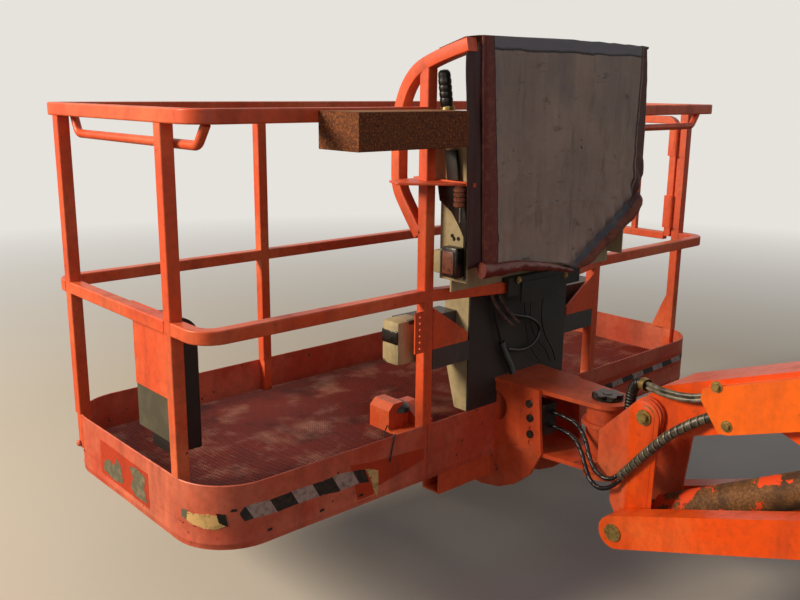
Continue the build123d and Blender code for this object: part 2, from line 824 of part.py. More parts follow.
# Cover: a sheet folded over the hoops' tops and hanging in front of the console
cover_half = 450
cover_wall = 5
cover_gap = 0.3
hoop_slope = radians(15.5)
cover_front = -hoop_out - tube / 2 * sin(hoop_slope) - cover_gap
hoop_end_top = hoop_top - 22 + tube / 2 / cos(hoop_slope)
fold_back = 25
fold_top = hoop_end_top + cover_gap
cover_hem = [
    # x, height: the right corner is drawn up and back
    (cover_half, fold_top),
    (cover_half, 830),
    (380, 818),
    (310, 790),
    (100, 655),
    (-200, 700),
    (-cover_half, 708),
    (-cover_half, fold_top),
]
with BuildPart() as cover:
    with BuildSketch(Plane.XZ.offset(-near - cover_front)):
        with BuildLine():
            Polyline(*[(x, deck + z) for x, z in cover_hem], close=True)
        make_face()
    extrude(amount=cover_wall)
    with BuildSketch(Plane.YZ.offset(-cover_half)):
        run = hoop_out - fold_back
        drop = run * tan(hoop_slope)
        with BuildLine():
            Polyline(
                (near + cover_front - cover_wall, deck + fold_top),
                (near - hoop_out, deck + fold_top),
                (near - fold_back, deck + fold_top - drop),
                (near - fold_back, deck + fold_top - drop + cover_wall),
                (near - hoop_out, deck + fold_top + cover_wall),
                (near + cover_front - cover_wall, deck + fold_top + cover_wall),
                close=True,
            )
        make_face()
    extrude(amount=2 * cover_half)
cover.part.label = "console_cover"
export_step(cover.part, "parts/console_cover.step")

# Gate at the right end, hinged on the post nearest the console
gate_gap = 8
gate_near = right_post_near + half + gate_gap
gate_far = right_post_far - half - gate_gap
gate_tube = 32
gate_top = rail_top - 52
gate_bottom = mid_rail_top - tube
gate_line = right_line
gate_bend = 45
gate_bar = 22
gate_bar_y = near + 350
hinge_x = right - tube - 12
hinge_y = right_post_near + half + gate_gap / 2
hinge_radius = 10
hinge_pin = 5
hinge_leaf = 4
hinge_height = 140
knuckle = 42
knuckle_gap = 1
hinge_bottoms = (deck + mid_rail_top + 16, deck + rail_top - 220)
leaf_width = 38
with BuildPart() as gate:
    gate_r = gate_tube / 2
    add(path_tube([
        (gate_line, gate_near + gate_r, deck + gate_bottom + gate_r),
        (gate_line, gate_near + gate_r, deck + gate_top - gate_r),
        (gate_line, gate_far - gate_r, deck + gate_top - gate_r),
        (gate_line, gate_far - gate_r, deck + gate_bottom + gate_r),
    ], gate_bend, gate_tube, gate_tube))
    add(path_tube([
        (gate_line, gate_near + gate_tube, deck + gate_bottom + gate_r),
        (gate_line, gate_far - gate_tube, deck + gate_bottom + gate_r),
    ], gate_bend, gate_tube, gate_tube))
    add(block(gate_line - gate_bar / 2, gate_line + gate_bar / 2, gate_bar_y - gate_bar / 2, gate_bar_y + gate_bar / 2,
              deck + gate_bottom + gate_tube - 1, deck + gate_top - gate_tube + 1))
    for z in hinge_bottoms:
        with BuildSketch(Plane.XY.offset(z + knuckle + knuckle_gap)):
            with Locations((hinge_x, hinge_y)):
                Circle(hinge_radius)
            with Locations(((hinge_x + right - tube + 3) / 2 + 3, hinge_y + hinge_radius - 3)):
                Rectangle(right - tube + 3 - hinge_x - 2, hinge_leaf)
            with Locations((hinge_x, hinge_y)):
                Circle(hinge_pin + pin_gap, mode=Mode.SUBTRACT)
        extrude(amount=hinge_height - 2 * knuckle - 2 * knuckle_gap)
        add(block(right - tube - 1, right - tube + 3, gate_near, gate_near + leaf_width, z, z + hinge_height))
gate.part.label = "gate"
export_step(gate.part, "parts/gate.step")

with BuildPart() as gate_hinges:
    for z in hinge_bottoms:
        with BuildSketch(Plane.XY.offset(z)):
            with Locations((hinge_x, hinge_y)):
                Circle(hinge_pin)
        extrude(amount=hinge_height)
        for lift in (0, hinge_height - knuckle):
            with BuildSketch(Plane.XY.offset(z + lift)):
                with Locations((hinge_x, hinge_y)):
                    Circle(hinge_radius)
            extrude(amount=knuckle)
        add(block(right - tube - hinge_leaf, right - tube, right_post_near - half, hinge_y - hinge_radius + 2,
                  z, z + hinge_height))
        for lift in (0, hinge_height - knuckle):
            add(block(hinge_x, right - tube, hinge_y - hinge_radius, hinge_y - hinge_radius + hinge_leaf,
                      z + lift, z + lift + knuckle))
gate_hinges.part.label = "gate_hinges"
export_step(gate_hinges.part, "parts/gate_hinges.step")

# Rusty tool box on the near rail, open on top as a folded steel tray with its lid shut
box_left = -848
box_right = -centre_post - half
box_out = 165
box_low = 1064
box_high = 1163
box_wall = 4
with BuildPart() as side_box:
    add(block(box_left, box_right, near - box_out, near, deck + box_low, deck + box_high))
    fillet(side_box.edges().filter_by(Axis.X), radius=4)
    add(block(box_left + box_wall, box_right - box_wall, near - box_out + box_wall, near - box_wall,
              deck + box_low - 1, deck + box_high - box_wall), mode=Mode.SUBTRACT)
side_box.part.label = "side_box"
export_step(side_box.part, "parts/side_box.step")

# Grab bars of round rod under the top rail: along the left end, and at the near side's right
grab_diameter = 25
grab_drop = 1080
grab_foot = rail_top - tube - 0.2
grab_runs = [
    # points from end to end
    [(left + tube + 13, 790, grab_foot), (left + tube + 13, 765, grab_drop), (left + tube + 13, 60, grab_drop),
     (left + 54, 24, grab_foot)],
    [(500, 19, grab_foot), (532, 19, grab_drop + 6), (1040, 19, grab_drop + 6), (1076, 19, grab_foot)],
]
with BuildPart() as grab_bars:
    for points in grab_runs:
        with BuildPart(mode=Mode.PRIVATE) as rod:
            with BuildLine() as route:
                FilletPolyline(*[(x, near + y, deck + z) for x, y, z in points], radius=28)
            with BuildSketch(Plane(origin=route.line @ 0, z_dir=route.line % 0)):
                Circle(grab_diameter / 2)
            sweep(path=route.line)
        add(rod.part)
    add(block(left, right, near - 1, far, deck + rail_top - tube, deck + rail_top), mode=Mode.SUBTRACT)
    for x, y in ((left_line, left_post_far), (left_line, left_post_near)):
        add(block(x - half, x + half, y - half, y + half, post_bottom, post_top), mode=Mode.SUBTRACT)
grab_bars.part.label = "grab_bars"
export_step(grab_bars.part, "parts/grab_bars.step")

# Footswitch on the floor: base, tall guard on the left, lower sloping guard on the right, pedal between
switch_left = -368
switch_right = -206
switch_near = 205
switch_far = 355
switch_base = 8
guard_wide = 66
guard_high = 98
guard_slope = 22
second_wide = 58
second_high = 74
pedal_high = 52
pedal_gap = 4
switch_floor = deck + floor_top
switch_step = switch_floor + switch_base
with BuildPart() as footswitch:
    add(block(switch_left, switch_right, near + switch_near, near + switch_far, switch_floor, switch_step))
    with BuildSketch(Plane.XZ.offset(-near - switch_near - 50)):
        with BuildLine():
            Polyline((switch_left, switch_step), (switch_left, switch_floor + guard_high - guard_slope),
                     (switch_left + guard_slope, switch_floor + guard_high),
                     (switch_left + guard_wide, switch_floor + guard_high),
                     (switch_left + guard_wide, switch_step), close=True)
        make_face()
    extrude(amount=-(switch_far - switch_near - 50))
    with BuildSketch(Plane.YZ.offset(switch_right - second_wide)):
        with BuildLine():
            Polyline((near + switch_near, switch_step), (near + switch_near, switch_floor + second_high / 3),
                     (near + switch_far - 60, switch_floor + second_high),
                     (near + switch_far - 20, switch_floor + second_high),
                     (near + switch_far - 20, switch_step), close=True)
        make_face()
    extrude(amount=second_wide)
    add(block(switch_left + guard_wide + pedal_gap, switch_right - second_wide - pedal_gap,
              near + switch_near + 60, near + switch_far - 10, switch_step, switch_floor + pedal_high))
footswitch.part.label = "footswitch"
export_step(footswitch.part, "parts/footswitch.step")

# Document box inside the left end, on a plate hung from the mid rail, with a hinged lid
plate_x = left + tube
plate_wall = 4
document_near = 262
document_far = 382
document_low = 210
document_top = 540
document_depth = 100
document_wall = 4
lid_wall = 5
lid_gap = 1
lid_pin = 3
with BuildPart() as document_plate:
    add(block(plate_x, plate_x + plate_wall, near + 195, near + 452, deck + 378, deck + mid_rail_top))
    add(block(plate_x, plate_x + plate_wall, near + 195, near + 446, deck + 250, deck + 378 - 0.5))
document_plate.part.label = "document_plate"
export_step(document_plate.part, "parts/document_plate.step")

box_x = plate_x + plate_wall
lid_arch = 60
lid_low = deck + document_top + lid_gap
lid_top = lid_low + lid_arch
arch_x = box_x + document_depth - lid_arch
lid_axis_x = box_x + 8
lid_axis_z = lid_top - lid_wall / 2
knuckle_radius = lid_pin + 3
knuckle_width = 10
knuckle_inset = 12
knuckle_room = knuckle_inset + knuckle_width + 3
with BuildPart() as document_box:
    add(block(box_x, box_x + document_depth, near + document_near, near + document_far,
              deck + document_low, deck + document_top))
    fillet(document_box.edges().filter_by(Axis.Z), radius=10)
    add(block(box_x + document_wall, box_x + document_depth - document_wall, near + document_near + document_wall,
              near + document_far - document_wall, deck + document_low + document_wall, deck + document_top + 1),
        mode=Mode.SUBTRACT)
    add(block(box_x, box_x + document_wall, near + document_near + 10, near + document_far - 10,
              deck + document_top - 2, lid_axis_z - knuckle_radius - 2))
    for y in (near + document_near + knuckle_inset, near + document_far - knuckle_inset - knuckle_width):
        with BuildSketch(Plane.XZ.offset(-y)):
            with Locations((lid_axis_x, lid_axis_z)):
                Circle(knuckle_radius)
            with Locations((lid_axis_x, (lid_axis_z + deck + document_top - 2) / 2)):
                Rectangle(2 * knuckle_radius, lid_axis_z - deck - document_top + 2)
        extrude(amount=-knuckle_width)
    with BuildSketch(Plane.XZ.offset(-near - document_near - knuckle_inset)):
        with Locations((lid_axis_x, lid_axis_z)):
            Circle(lid_pin)
    extrude(amount=-(document_far - document_near - 2 * knuckle_inset))
document_box.part.label = "document_box"
export_step(document_box.part, "parts/document_box.step")

with BuildPart() as document_lid:
    for y, width_along, hollow in (
        (document_near, document_far - document_near, lid_arch - lid_wall),
        (document_near, lid_wall, 0),
        (document_far - lid_wall, lid_wall, 0),
    ):
        with BuildSketch(Plane.XZ.offset(-near - y)):
            with Locations((arch_x, lid_low)):
                Circle(lid_arch)
                if hollow:
                    Circle(hollow, mode=Mode.SUBTRACT)
                Rectangle(3 * lid_arch, 2 * lid_arch, align=(Align.CENTER, Align.MAX), mode=Mode.SUBTRACT)
                Rectangle(2 * lid_arch, 3 * lid_arch, align=(Align.MAX, Align.CENTER), mode=Mode.SUBTRACT)
            with Locations(((lid_axis_x + arch_x) / 2, lid_top)):
                Rectangle(arch_x - lid_axis_x, lid_wall if hollow else lid_arch, align=(Align.CENTER, Align.MAX))
        extrude(amount=-width_along)
    for y in (document_near, document_far - knuckle_room):
        with BuildSketch(Plane.XZ.offset(-near - y)):
            with Locations((lid_axis_x, lid_axis_z)):
                Circle(knuckle_radius + 1)
        extrude(amount=-knuckle_room, mode=Mode.SUBTRACT)
    with BuildSketch(Plane.XZ.offset(-near - document_near - knuckle_room - 1)):
        with Locations((lid_axis_x, lid_axis_z)):
            Circle(knuckle_radius)
    extrude(amount=-(document_far - document_near - 2 * knuckle_room - 2))
    with BuildSketch(Plane.XZ.offset(-near - document_near)):
        with Locations((lid_axis_x, lid_axis_z)):
            Circle(lid_pin + pin_gap)
    extrude(amount=-(document_far - document_near), mode=Mode.SUBTRACT)
document_lid.part.label = "document_lid"
export_step(document_lid.part, "parts/document_lid.step")

# Fittings of the console: alarm on the left side plate, and a connector under the shelf
alarm_y = -58
alarm_z = 720
connector_x = -372
connector_y = -109
with BuildPart() as console_fittings:
    for radius, length_out, start in ((38, 18, 0), (28, 12, 18), (34, 8, 30)):
        with BuildSketch(Plane.YZ.offset(-400 - start)):
            with Locations((near + alarm_y, deck + alarm_z)):
                Circle(radius)
        extrude(amount=-length_out)
    for radius, height, top in ((24, 16, 0), (19, 20, 16), (26, 18, 36)):
        with BuildSketch(Plane.XY.offset(deck + shelf_z - top)):
            with Locations((connector_x, near + connector_y)):
                Circle(radius)
        extrude(amount=-height)
console_fittings.part.label = "console_fittings"
export_step(console_fittings.part, "parts/console_fittings.step")

# Jib hoses: a wrapped bundle and a pair above it leave the guard; the pair enters a boot on the head
guard_exit_x = -(upper_width / 2 + guard_out - guard_wall) / 2
bundle_diameter = 30
pair_diameter = 13
tail_diameter = 14
boot_diameter = 34
manifold_face = near - 200
hose_gap = 0.6
bundle_route = [
    (guard_exit_x, near - 832, deck + 384),
    (guard_exit_x, near - 796, deck + 368),
    (guard_exit_x - 1, near - 756, deck + 348),
    (guard_exit_x - 14, near - 708, deck + 314),
    (guard_exit_x - 20, near - 658, deck + 270),
    (guard_exit_x - 22, near - 608, deck + 212),
    (guard_exit_x - 21, near - 560, deck + 152),
    (guard_exit_x - 20, near - 518, deck + 100),
]
pair_route = [
    # out from the arm, in from the near face, height
    (0, -850, 443),
    (0, -806, 428),
    (-1, -760, 410),
    (-8, -712, 396),
    (-9, -656, 391),
    (-3, -606, 391),
    (11.9, -560.35, 391),
]
boot_route = [
    (guard_exit_x + 12, near - 560, deck + 391),
    (guard_exit_x + 22.4, near - 528, deck + 391),
    (guard_exit_x + 38, near - 504, deck + 365),
    (guard_exit_x + 46, near - 491, deck + 325),
    (guard_exit_x + 48, near - 488, deck + 272),
    (guard_exit_x + 48, near - 487, deck + 206.3),
]
tail_upper_route = [
    (guard_exit_x - 20, near - 511.9, deck + 103.9),
    (guard_exit_x - 19, near - 496, deck + 84.5),
    (guard_exit_x - 21, near - 462, deck + 72),
    (guard_exit_x - 20, near - 424, deck + 88),
    (guard_exit_x - 8, near - 392, deck + 122),
    (guard_exit_x + 14, near - 362, deck + 160),
    (guard_exit_x + 36, near - 316, deck + 187),
    (guard_exit_x + 44, near - 260, deck + 197),
    (guard_exit_x + 46, manifold_face - hose_gap, deck + 198),
]
tail_lower_route = [
    (guard_exit_x - 20, near - 523.1, deck + 94.9),
    (guard_exit_x - 19, near - 505, deck + 72.5),
    (guard_exit_x - 20, near - 478, deck + 46),
    (guard_exit_x - 18, near - 440, deck + 32),
    (guard_exit_x - 10, near - 402, deck + 44),
    (guard_exit_x + 2, near - 374, deck + 78),
    (guard_exit_x + 18, near - 346, deck + 114),
    (guard_exit_x + 36, near - 304, deck + 140),
    (guard_exit_x + 44, near - 252, deck + 149),
    (guard_exit_x + 46, manifold_face - hose_gap, deck + 150),
]
hoses = [
    # node, route, diameter
    ("hose_bundle", bundle_route, bundle_diameter),
    ("hose_pair_upper", [(guard_exit_x + x, near + y, deck + z + pair_diameter / 2) for x, y, z in pair_route],
     pair_diameter - 0.1),
    ("hose_pair_lower", [(guard_exit_x + x, near + y, deck + z - pair_diameter / 2) for x, y, z in pair_route],
     pair_diameter - 0.1),
    ("hose_boot", boot_route, boot_diameter),
    ("hose_tail_upper", tail_upper_route, tail_diameter),
    ("hose_tail_lower", tail_lower_route, tail_diameter),
]
for name, route, diameter in hoses:
    with BuildPart() as hose_run:
        add(hose(route, diameter))
    hose_run.part.label = name
    export_step(hose_run.part, f"parts/{name}.step")

# Console cables: a conduit down to a corrugated sleeve, and a lead that loops back up
conduit_diameter = 12
sleeve_diameter = 22
lead_diameter = 11
gland_low = deck + gland_from
conduit_route = [
    (-168, near - 18, gland_low - hose_gap),
    (-168, near - 18, deck + 625),
    (-166, near - 18, deck + 590),
    (-156, near - 18, deck + 540),
    (-138, near - 18, deck + 478),
    (-122, near - 18, deck + 432),
    (-112.2, near - 18, deck + 405.4),
]
sleeve_route = [
    (-112, near - 18, deck + 405),
    (-98, near - 18, deck + 374),
    (-80, near - 18, deck + 344),
    (-62, near - 18, deck + 315),
    (-48, near - 18, deck + 284),
]
lead_route = [
    (-79.5, near - 18, deck + 372.8),
    (-54, near - 19, deck + 366),
    (-20, near - 20, deck + 358),
    (14, near - 20, deck + 357),
    (50, near - 20, deck + 366),
    (76, near - 20, deck + 384),
    (87, near - 20, deck + 406),
    (80, near - 20, deck + 428),
    (60, near - 20, deck + 446),
    (28, near - 20, deck + 464),
    (-10, near - 20, deck + 476),
    (-45, near - 20, deck + 484),
    (-80, near - 20, deck + 497),
    (-104, near - 20, deck + 522),
    (-121, near - 19, deck + 556),
    (-131, near - 18, deck + 600),
    (-134, near - 18, deck + 640),
    (-134, near - 18, gland_low - hose_gap),
]
console_cables = [
    # node, route, diameter
    ("console_conduit", conduit_route, conduit_diameter),
    ("console_sleeve", sleeve_route, sleeve_diameter),
    ("console_lead", lead_route, lead_diameter),
]
for name, route, diameter in console_cables:
    with BuildPart() as cable_run:
        add(hose(route, diameter))
    cable_run.part.label = name
    export_step(cable_run.part, f"parts/{name}.step")

# Manifold block inside the yoke, on its left side plate, where the two tails end
manifold_half = 24
with BuildPart() as manifold:
    add(block(-yoke_half + yoke_plate / 2, guard_exit_x + 46 + manifold_half, manifold_face, manifold_face + 64,
              deck + 120, deck + 228))
    fillet(manifold.edges().filter_by(Axis.Y), radius=4)
manifold.part.label = "hose_manifold"
export_step(manifold.part, "parts/hose_manifold.step")
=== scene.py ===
# %% [markdown]
# # Dressing a boom lift's work platform
# The solids of this platform, its rotator and its jib are already made and measured. This
# lesson gives them paint, rust, cloth and rubber, and models the thin and soft pieces that
# solids can't say well: the expanded floor, the draped cover, the hoses and the bolts.

# %% Load the solids as a fixed frame
import bmesh
import bpy
import json
import math
from mathutils import Matrix, Vector, noise


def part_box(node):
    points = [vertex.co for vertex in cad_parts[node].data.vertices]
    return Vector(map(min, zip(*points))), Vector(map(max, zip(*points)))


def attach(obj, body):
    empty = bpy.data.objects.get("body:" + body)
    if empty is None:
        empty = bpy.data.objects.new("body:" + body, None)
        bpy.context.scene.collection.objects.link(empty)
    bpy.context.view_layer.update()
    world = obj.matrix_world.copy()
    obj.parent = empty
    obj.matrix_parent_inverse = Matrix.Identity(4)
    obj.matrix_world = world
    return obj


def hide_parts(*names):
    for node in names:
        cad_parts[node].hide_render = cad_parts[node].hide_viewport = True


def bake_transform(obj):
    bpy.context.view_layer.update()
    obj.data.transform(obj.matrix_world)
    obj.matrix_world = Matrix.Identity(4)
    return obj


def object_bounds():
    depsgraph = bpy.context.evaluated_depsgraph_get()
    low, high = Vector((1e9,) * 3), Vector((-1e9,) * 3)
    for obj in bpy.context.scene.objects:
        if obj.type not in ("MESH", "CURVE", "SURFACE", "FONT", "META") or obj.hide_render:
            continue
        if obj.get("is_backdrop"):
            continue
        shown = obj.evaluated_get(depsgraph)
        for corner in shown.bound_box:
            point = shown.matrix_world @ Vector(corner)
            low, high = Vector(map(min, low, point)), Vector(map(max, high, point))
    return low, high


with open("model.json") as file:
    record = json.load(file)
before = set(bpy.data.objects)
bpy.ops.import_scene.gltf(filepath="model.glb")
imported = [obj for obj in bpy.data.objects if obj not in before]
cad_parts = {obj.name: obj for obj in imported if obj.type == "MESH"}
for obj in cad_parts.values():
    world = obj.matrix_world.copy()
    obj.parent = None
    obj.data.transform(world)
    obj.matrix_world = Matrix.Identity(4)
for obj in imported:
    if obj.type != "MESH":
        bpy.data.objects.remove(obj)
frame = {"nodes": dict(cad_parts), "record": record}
solid_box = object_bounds()
NODES = frame["nodes"]
print("pieces in the frame:", len(NODES))

# %% [markdown]
# The platform has its own handy corner: the near face of the toe boards, and the bottom
# edge of their sheets. Every place below is measured from there, in metres.

# %% The platform's own corner
toe_low, toe_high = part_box("toeboard_near")
NEAR = toe_low.y
DECK = toe_low.z
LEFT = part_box("toeboard_left")[0].x
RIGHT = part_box("toeboard_right")[1].x


def at(x, inward, height):
    """A point from the middle, in from the near face, and up from the sheets' bottom edge."""
    return Vector((x, NEAR + inward, DECK + height))


print("near face", round(NEAR, 4), "deck", round(DECK, 4), "ends", round(LEFT, 3), round(RIGHT, 3))

# %% [markdown]
# The camera stands outside the platform's left near corner, a little above the mid rail,
# and looks down slightly. Its place came from fitting straight rails and posts of known
# length to the picture, so the lens, the turn and the slight roll belong together.

# %% Camera
YAW = math.radians(42.32)
PITCH = math.radians(13.46)
ROLL = math.radians(0.61)
FOCAL_PIXELS = 882.7
IMAGE_WIDTH = 800
SENSOR_MM = 36.0
EYE = at(-2.265, -1.879, 1.220)
forward = Vector((math.sin(YAW) * math.cos(PITCH), math.cos(YAW) * math.cos(PITCH), -math.sin(PITCH)))
level_right = Vector((math.cos(YAW), -math.sin(YAW), 0.0))
level_up = level_right.cross(forward)
camera_right = math.cos(ROLL) * level_right + math.sin(ROLL) * level_up
camera_up = -math.sin(ROLL) * level_right + math.cos(ROLL) * level_up
camera_data = bpy.data.cameras.new("camera")
camera_data.sensor_width = SENSOR_MM
camera_data.lens = FOCAL_PIXELS * SENSOR_MM / IMAGE_WIDTH
camera_data.clip_start = 0.05
camera = bpy.data.objects.new("camera", camera_data)
bpy.context.scene.collection.objects.link(camera)
turn = Matrix((camera_right, camera_up, -forward)).transposed().to_4x4()
camera.matrix_world = Matrix.Translation(EYE) @ turn
bpy.context.scene.camera = camera
print("lens", round(camera_data.lens, 2), "mm")

# %% [markdown]
# ## Small helpers
# Blender wants linear colour, while a paint chart gives sRGB hex, so one function turns
# the one into the other. A second adds a shader node with its settings and links. Two short
# recipes come back in nearly every finish: blotches of a given size, and coats of colour
# laid one over another through them.

# %% Colour and node helpers


def linear(hex_colour):
    """sRGB hex to the linear RGBA that a shader socket takes."""
    channels = [int(hex_colour[i:i + 2], 16) / 255 for i in (1, 3, 5)]
    return [c / 12.92 if c <= 0.04045 else ((c + 0.055) / 1.055) ** 2.4 for c in channels] + [1.0]


def add(tree, kind, links=None, **settings):
    """Add a shader node: links maps its inputs to sockets, values or hex colours."""
    node = tree.nodes.new(kind)
    for name, value in settings.items():
        setattr(node, name, value)
    for key, value in (links or {}).items():
        if isinstance(value, bpy.types.NodeSocket):
            tree.links.new(value, node.inputs[key])
        elif isinstance(value, str):
            node.inputs[key].default_value = linear(value)
        else:
            node.inputs[key].default_value = value
    return node


def new_material(name):
    """An empty material with its shader, its output and Object coordinates."""
    material = bpy.data.materials.new(name)
    material.use_nodes = True
    tree = material.node_tree
    tree.nodes.clear()
    shader = add(tree, "ShaderNodeBsdfPrincipled")
    add(tree, "ShaderNodeOutputMaterial", {"Surface": shader.outputs["BSDF"]})
    where = add(tree, "ShaderNodeTexCoord").outputs["Object"]
    return material, tree, shader, where


def patches(tree, where, size, low, high, amount=1.0, detail=4.0, stretch=(1, 1, 1)):
    """Noise blotches about size metres across: 0 below low, rising to amount above high."""
    spot = add(tree, "ShaderNodeMapping", {"Vector": where, "Scale": stretch})
    grain = add(tree, "ShaderNodeTexNoise", {"Vector": spot.outputs["Vector"], "Scale": 0.5 / size,
                                             "Detail": detail, "Roughness": 0.62})
    cut = add(tree, "ShaderNodeMapRange", {"Value": grain.outputs["Fac"], "From Min": low, "From Max": high,
                                           "To Max": amount})
    return cut.outputs["Result"]


def coats(tree, first, *layers):
    """Lay colours one over another: each layer is how much of it shows, then its colour."""
    for amount, colour in layers:
        mix = add(tree, "ShaderNodeMix", {0: amount, 6: first, 7: colour}, data_type="RGBA")
        first = mix.outputs[2]
    return first


print("helpers ready")

# %% [markdown]
# ## Paint
# The platform wears an orange enamel that years of sun have bleached to a chalky salmon. On
# it lie runs of road dirt, rubbed places and chips down to dark primer. The jib's enamel is
# younger and redder. All are one recipe: a body colour, wide faded clouds, dirt drawn down
# by rain, fine spots and sharp chips.

# %% Painted steel


def painted_steel(name, body, faded, dirt, chip, fade, chips, roughness):
    """Sprayed enamel on plate: clouds of fading, runs of dirt, chips down to primer.

    fade and chips are the noise levels at which clouds and chips begin: higher shows fewer.
    """
    material, tree, shader, where = new_material(name)
    clouds = patches(tree, where, 0.19, fade, fade + 0.20, 1.0, 5)
    runs = patches(tree, where, 0.045, 0.50, 0.74, 0.45, 6, (1, 1, 0.30))
    film = patches(tree, where, 0.012, 0.44, 0.72, 0.22, 3)
    spots = patches(tree, where, 0.006, 0.66, 0.71, 0.35, 3)
    flakes = patches(tree, where, 0.020, chips, chips + 0.012, 1.0, 9)
    rims = patches(tree, where, 0.020, chips - 0.012, chips, 0.5, 9)
    colour = coats(tree, body, (clouds, faded), (film, dirt), (runs, dirt), (spots, dirt), (rims, faded),
                   (flakes, chip))
    tree.links.new(colour, shader.inputs["Base Color"])
    dull = add(tree, "ShaderNodeMapRange", {"Value": runs, "To Min": roughness, "To Max": roughness + 0.3})
    tree.links.new(dull.outputs["Result"], shader.inputs["Roughness"])
    peel = add(tree, "ShaderNodeTexNoise", {"Vector": where, "Scale": 260.0, "Detail": 3.0})
    level = add(tree, "ShaderNodeMath", {0: peel.outputs["Fac"], 1: flakes}, operation="SUBTRACT")
    relief = add(tree, "ShaderNodeBump", {"Height": level.outputs[0], "Distance": 0.00015, "Strength": 0.6})
    tree.links.new(relief.outputs["Normal"], shader.inputs["Normal"])
    return material


# Orange enamel on the platform's rails and posts, sun-bleached: fading makes it look old.
platform_enamel = painted_steel("sun_bleached_orange_enamel", "#DE562C", "#E8754A", "#6B2A1E", "#2E1814",
                                0.46, 0.700, 0.42)
# The same enamel low down, browned and scraped by boots, stones and wet, and also painted darker as painted
# shade for the boards' shaded faces.
toeboard_enamel = painted_steel("scuffed_and_shade_darkened_enamel_on_toeboards", "#C64C32", "#D87054", "#5A2A22",
                                "#33201A", 0.40, 0.675, 0.50)
# Younger, redder enamel on the jib, with a little gloss left.
jib_enamel = painted_steel("jib_orange_enamel", "#EE5208", "#F06A2C", "#7E2A12", "#3A1C14", 0.52, 0.735, 0.34)
# The hose guard's yellower touch-up paint.
guard_enamel = painted_steel("guard_orange_enamel", "#FB6E12", "#FA7E2E", "#A04414", "#4A2414",
                             0.60, 0.760, 0.34)
# Chalky beige on the console's stand and the column's sides, dusty and flat.
beige_enamel = painted_steel("chalky_beige_enamel", "#A89A76", "#B8AC8C", "#5A5040", "#2E2822",
                             0.48, 0.690, 0.55)
# Dark machine grey on the beams, greasy near the joints.
grey_enamel = painted_steel("dark_machine_grey_enamel", "#3A3836", "#54514C", "#1C1816", "#5A2A1C",
                            0.52, 0.700, 0.48)
print("paints:", [m.name for m in bpy.data.materials if "enamel" in m.name])

# %% [markdown]
# ## Bare, rusty and plated metal
# Rust is matt and grainy, with bright orange flecks in a dark brown skin. The barrel of
# the cylinder is caked in road mud that still shows its old orange in torn islands. Zinc
# plate turns straw yellow, and a piston rod is hard chrome, nearly a mirror.

# %% Rust and worn floor steel
# Flaking rust on the side box: pitted grain that stays matt, lighter where dust lies on top.
rust, tree, shader, where = new_material("flaking_rust_on_mild_steel")
flecks = patches(tree, where, 0.0028, 0.50, 0.62, 0.85, 3)
pits = patches(tree, where, 0.0045, 0.50, 0.64, 0.8, 4)
bloom = patches(tree, where, 0.045, 0.44, 0.64, 0.45, 5)
facing = add(tree, "ShaderNodeNewGeometry").outputs["Normal"]
up = add(tree, "ShaderNodeSeparateXYZ", {0: facing}).outputs["Z"]
dusty = add(tree, "ShaderNodeMapRange", {"Value": up, "From Min": 0.6, "From Max": 0.95, "To Max": 0.55})
tree.links.new(coats(tree, "#5A2C12", (flecks, "#A8622A"), (pits, "#24110A"), (bloom, "#6A3A1C"),
                     (dusty.outputs["Result"], "#A07048")), shader.inputs["Base Color"])
shader.inputs["Roughness"].default_value = 0.90
relief = add(tree, "ShaderNodeBump", {"Height": flecks, "Distance": 0.0006, "Strength": 0.6})
tree.links.new(relief.outputs["Normal"], shader.inputs["Normal"])

# Red enamel walked off the floor's strands: the crowns are worn pink and tan and also painted lighter as a
# painted highlight on their tops; the sides stay dark.
CROWN_START = 0.0020
CROWN_FULL = 0.0006
floor_steel, tree, shader, where = new_material("worn_red_expanded_steel_with_painted_highlights")
crowns = patches(tree, where, 0.080, 0.50, 0.66, 0.9, 5)
old_paint = patches(tree, where, 0.045, 0.48, 0.60, 0.8, 5)
oil = patches(tree, where, 0.13, 0.54, 0.66, 0.6, 5)
FLOOR_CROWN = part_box("floor_mesh")[1].z
depth = add(tree, "ShaderNodeSeparateXYZ", {0: where}).outputs["Z"]
crown_wear_and_highlight = add(tree, "ShaderNodeMapRange", {"Value": depth, "From Min": FLOOR_CROWN - CROWN_START,
                                         "From Max": FLOOR_CROWN - CROWN_FULL, "To Max": 0.95})
bare = add(tree, "ShaderNodeMath", {0: crown_wear_and_highlight.outputs["Result"], 1: crowns}, operation="MULTIPLY")
tree.links.new(coats(tree, "#3C0B0D", (old_paint, "#5A1614"), (crown_wear_and_highlight.outputs["Result"], "#B04A36"),
                     (bare.outputs[0], "#E8AC90"), (oil, "#1E0E10")), shader.inputs["Base Color"])
shader.inputs["Roughness"].default_value = 0.46
shader.inputs["Metallic"].default_value = 0.2
print("rust and floor ready")

# %% Barrel, zinc, chrome and cast black
# Dried road mud over old enamel on the barrel: torn orange islands show how it was painted.
barrel_mud, tree, shader, where = new_material("mud_over_old_enamel")
islands = patches(tree, where, 0.045, 0.560, 0.572, 1.0, 9)
silt = patches(tree, where, 0.004, 0.40, 0.70, 1.0, 4)
damp = patches(tree, where, 0.05, 0.46, 0.62, 0.8, 5)
tree.links.new(coats(tree, "#5E3A1C", (silt, "#8A6236"), (damp, "#35200F"), (islands, "#E4480F")),
               shader.inputs["Base Color"])
shader.inputs["Roughness"].default_value = 0.76
relief = add(tree, "ShaderNodeBump", {"Height": islands, "Distance": 0.0005, "Strength": 0.8})
tree.links.new(relief.outputs["Normal"], shader.inputs["Normal"])

# Straw-yellow zinc plate on bolts and pins, hazed by handling.
zinc, tree, shader, where = new_material("straw_zinc_plate")
haze = patches(tree, where, 0.006, 0.40, 0.66, 0.8)
tree.links.new(coats(tree, "#B39A5E", (haze, "#6E5C3C")), shader.inputs["Base Color"])
shader.inputs["Metallic"].default_value = 0.75
shader.inputs["Roughness"].default_value = 0.40

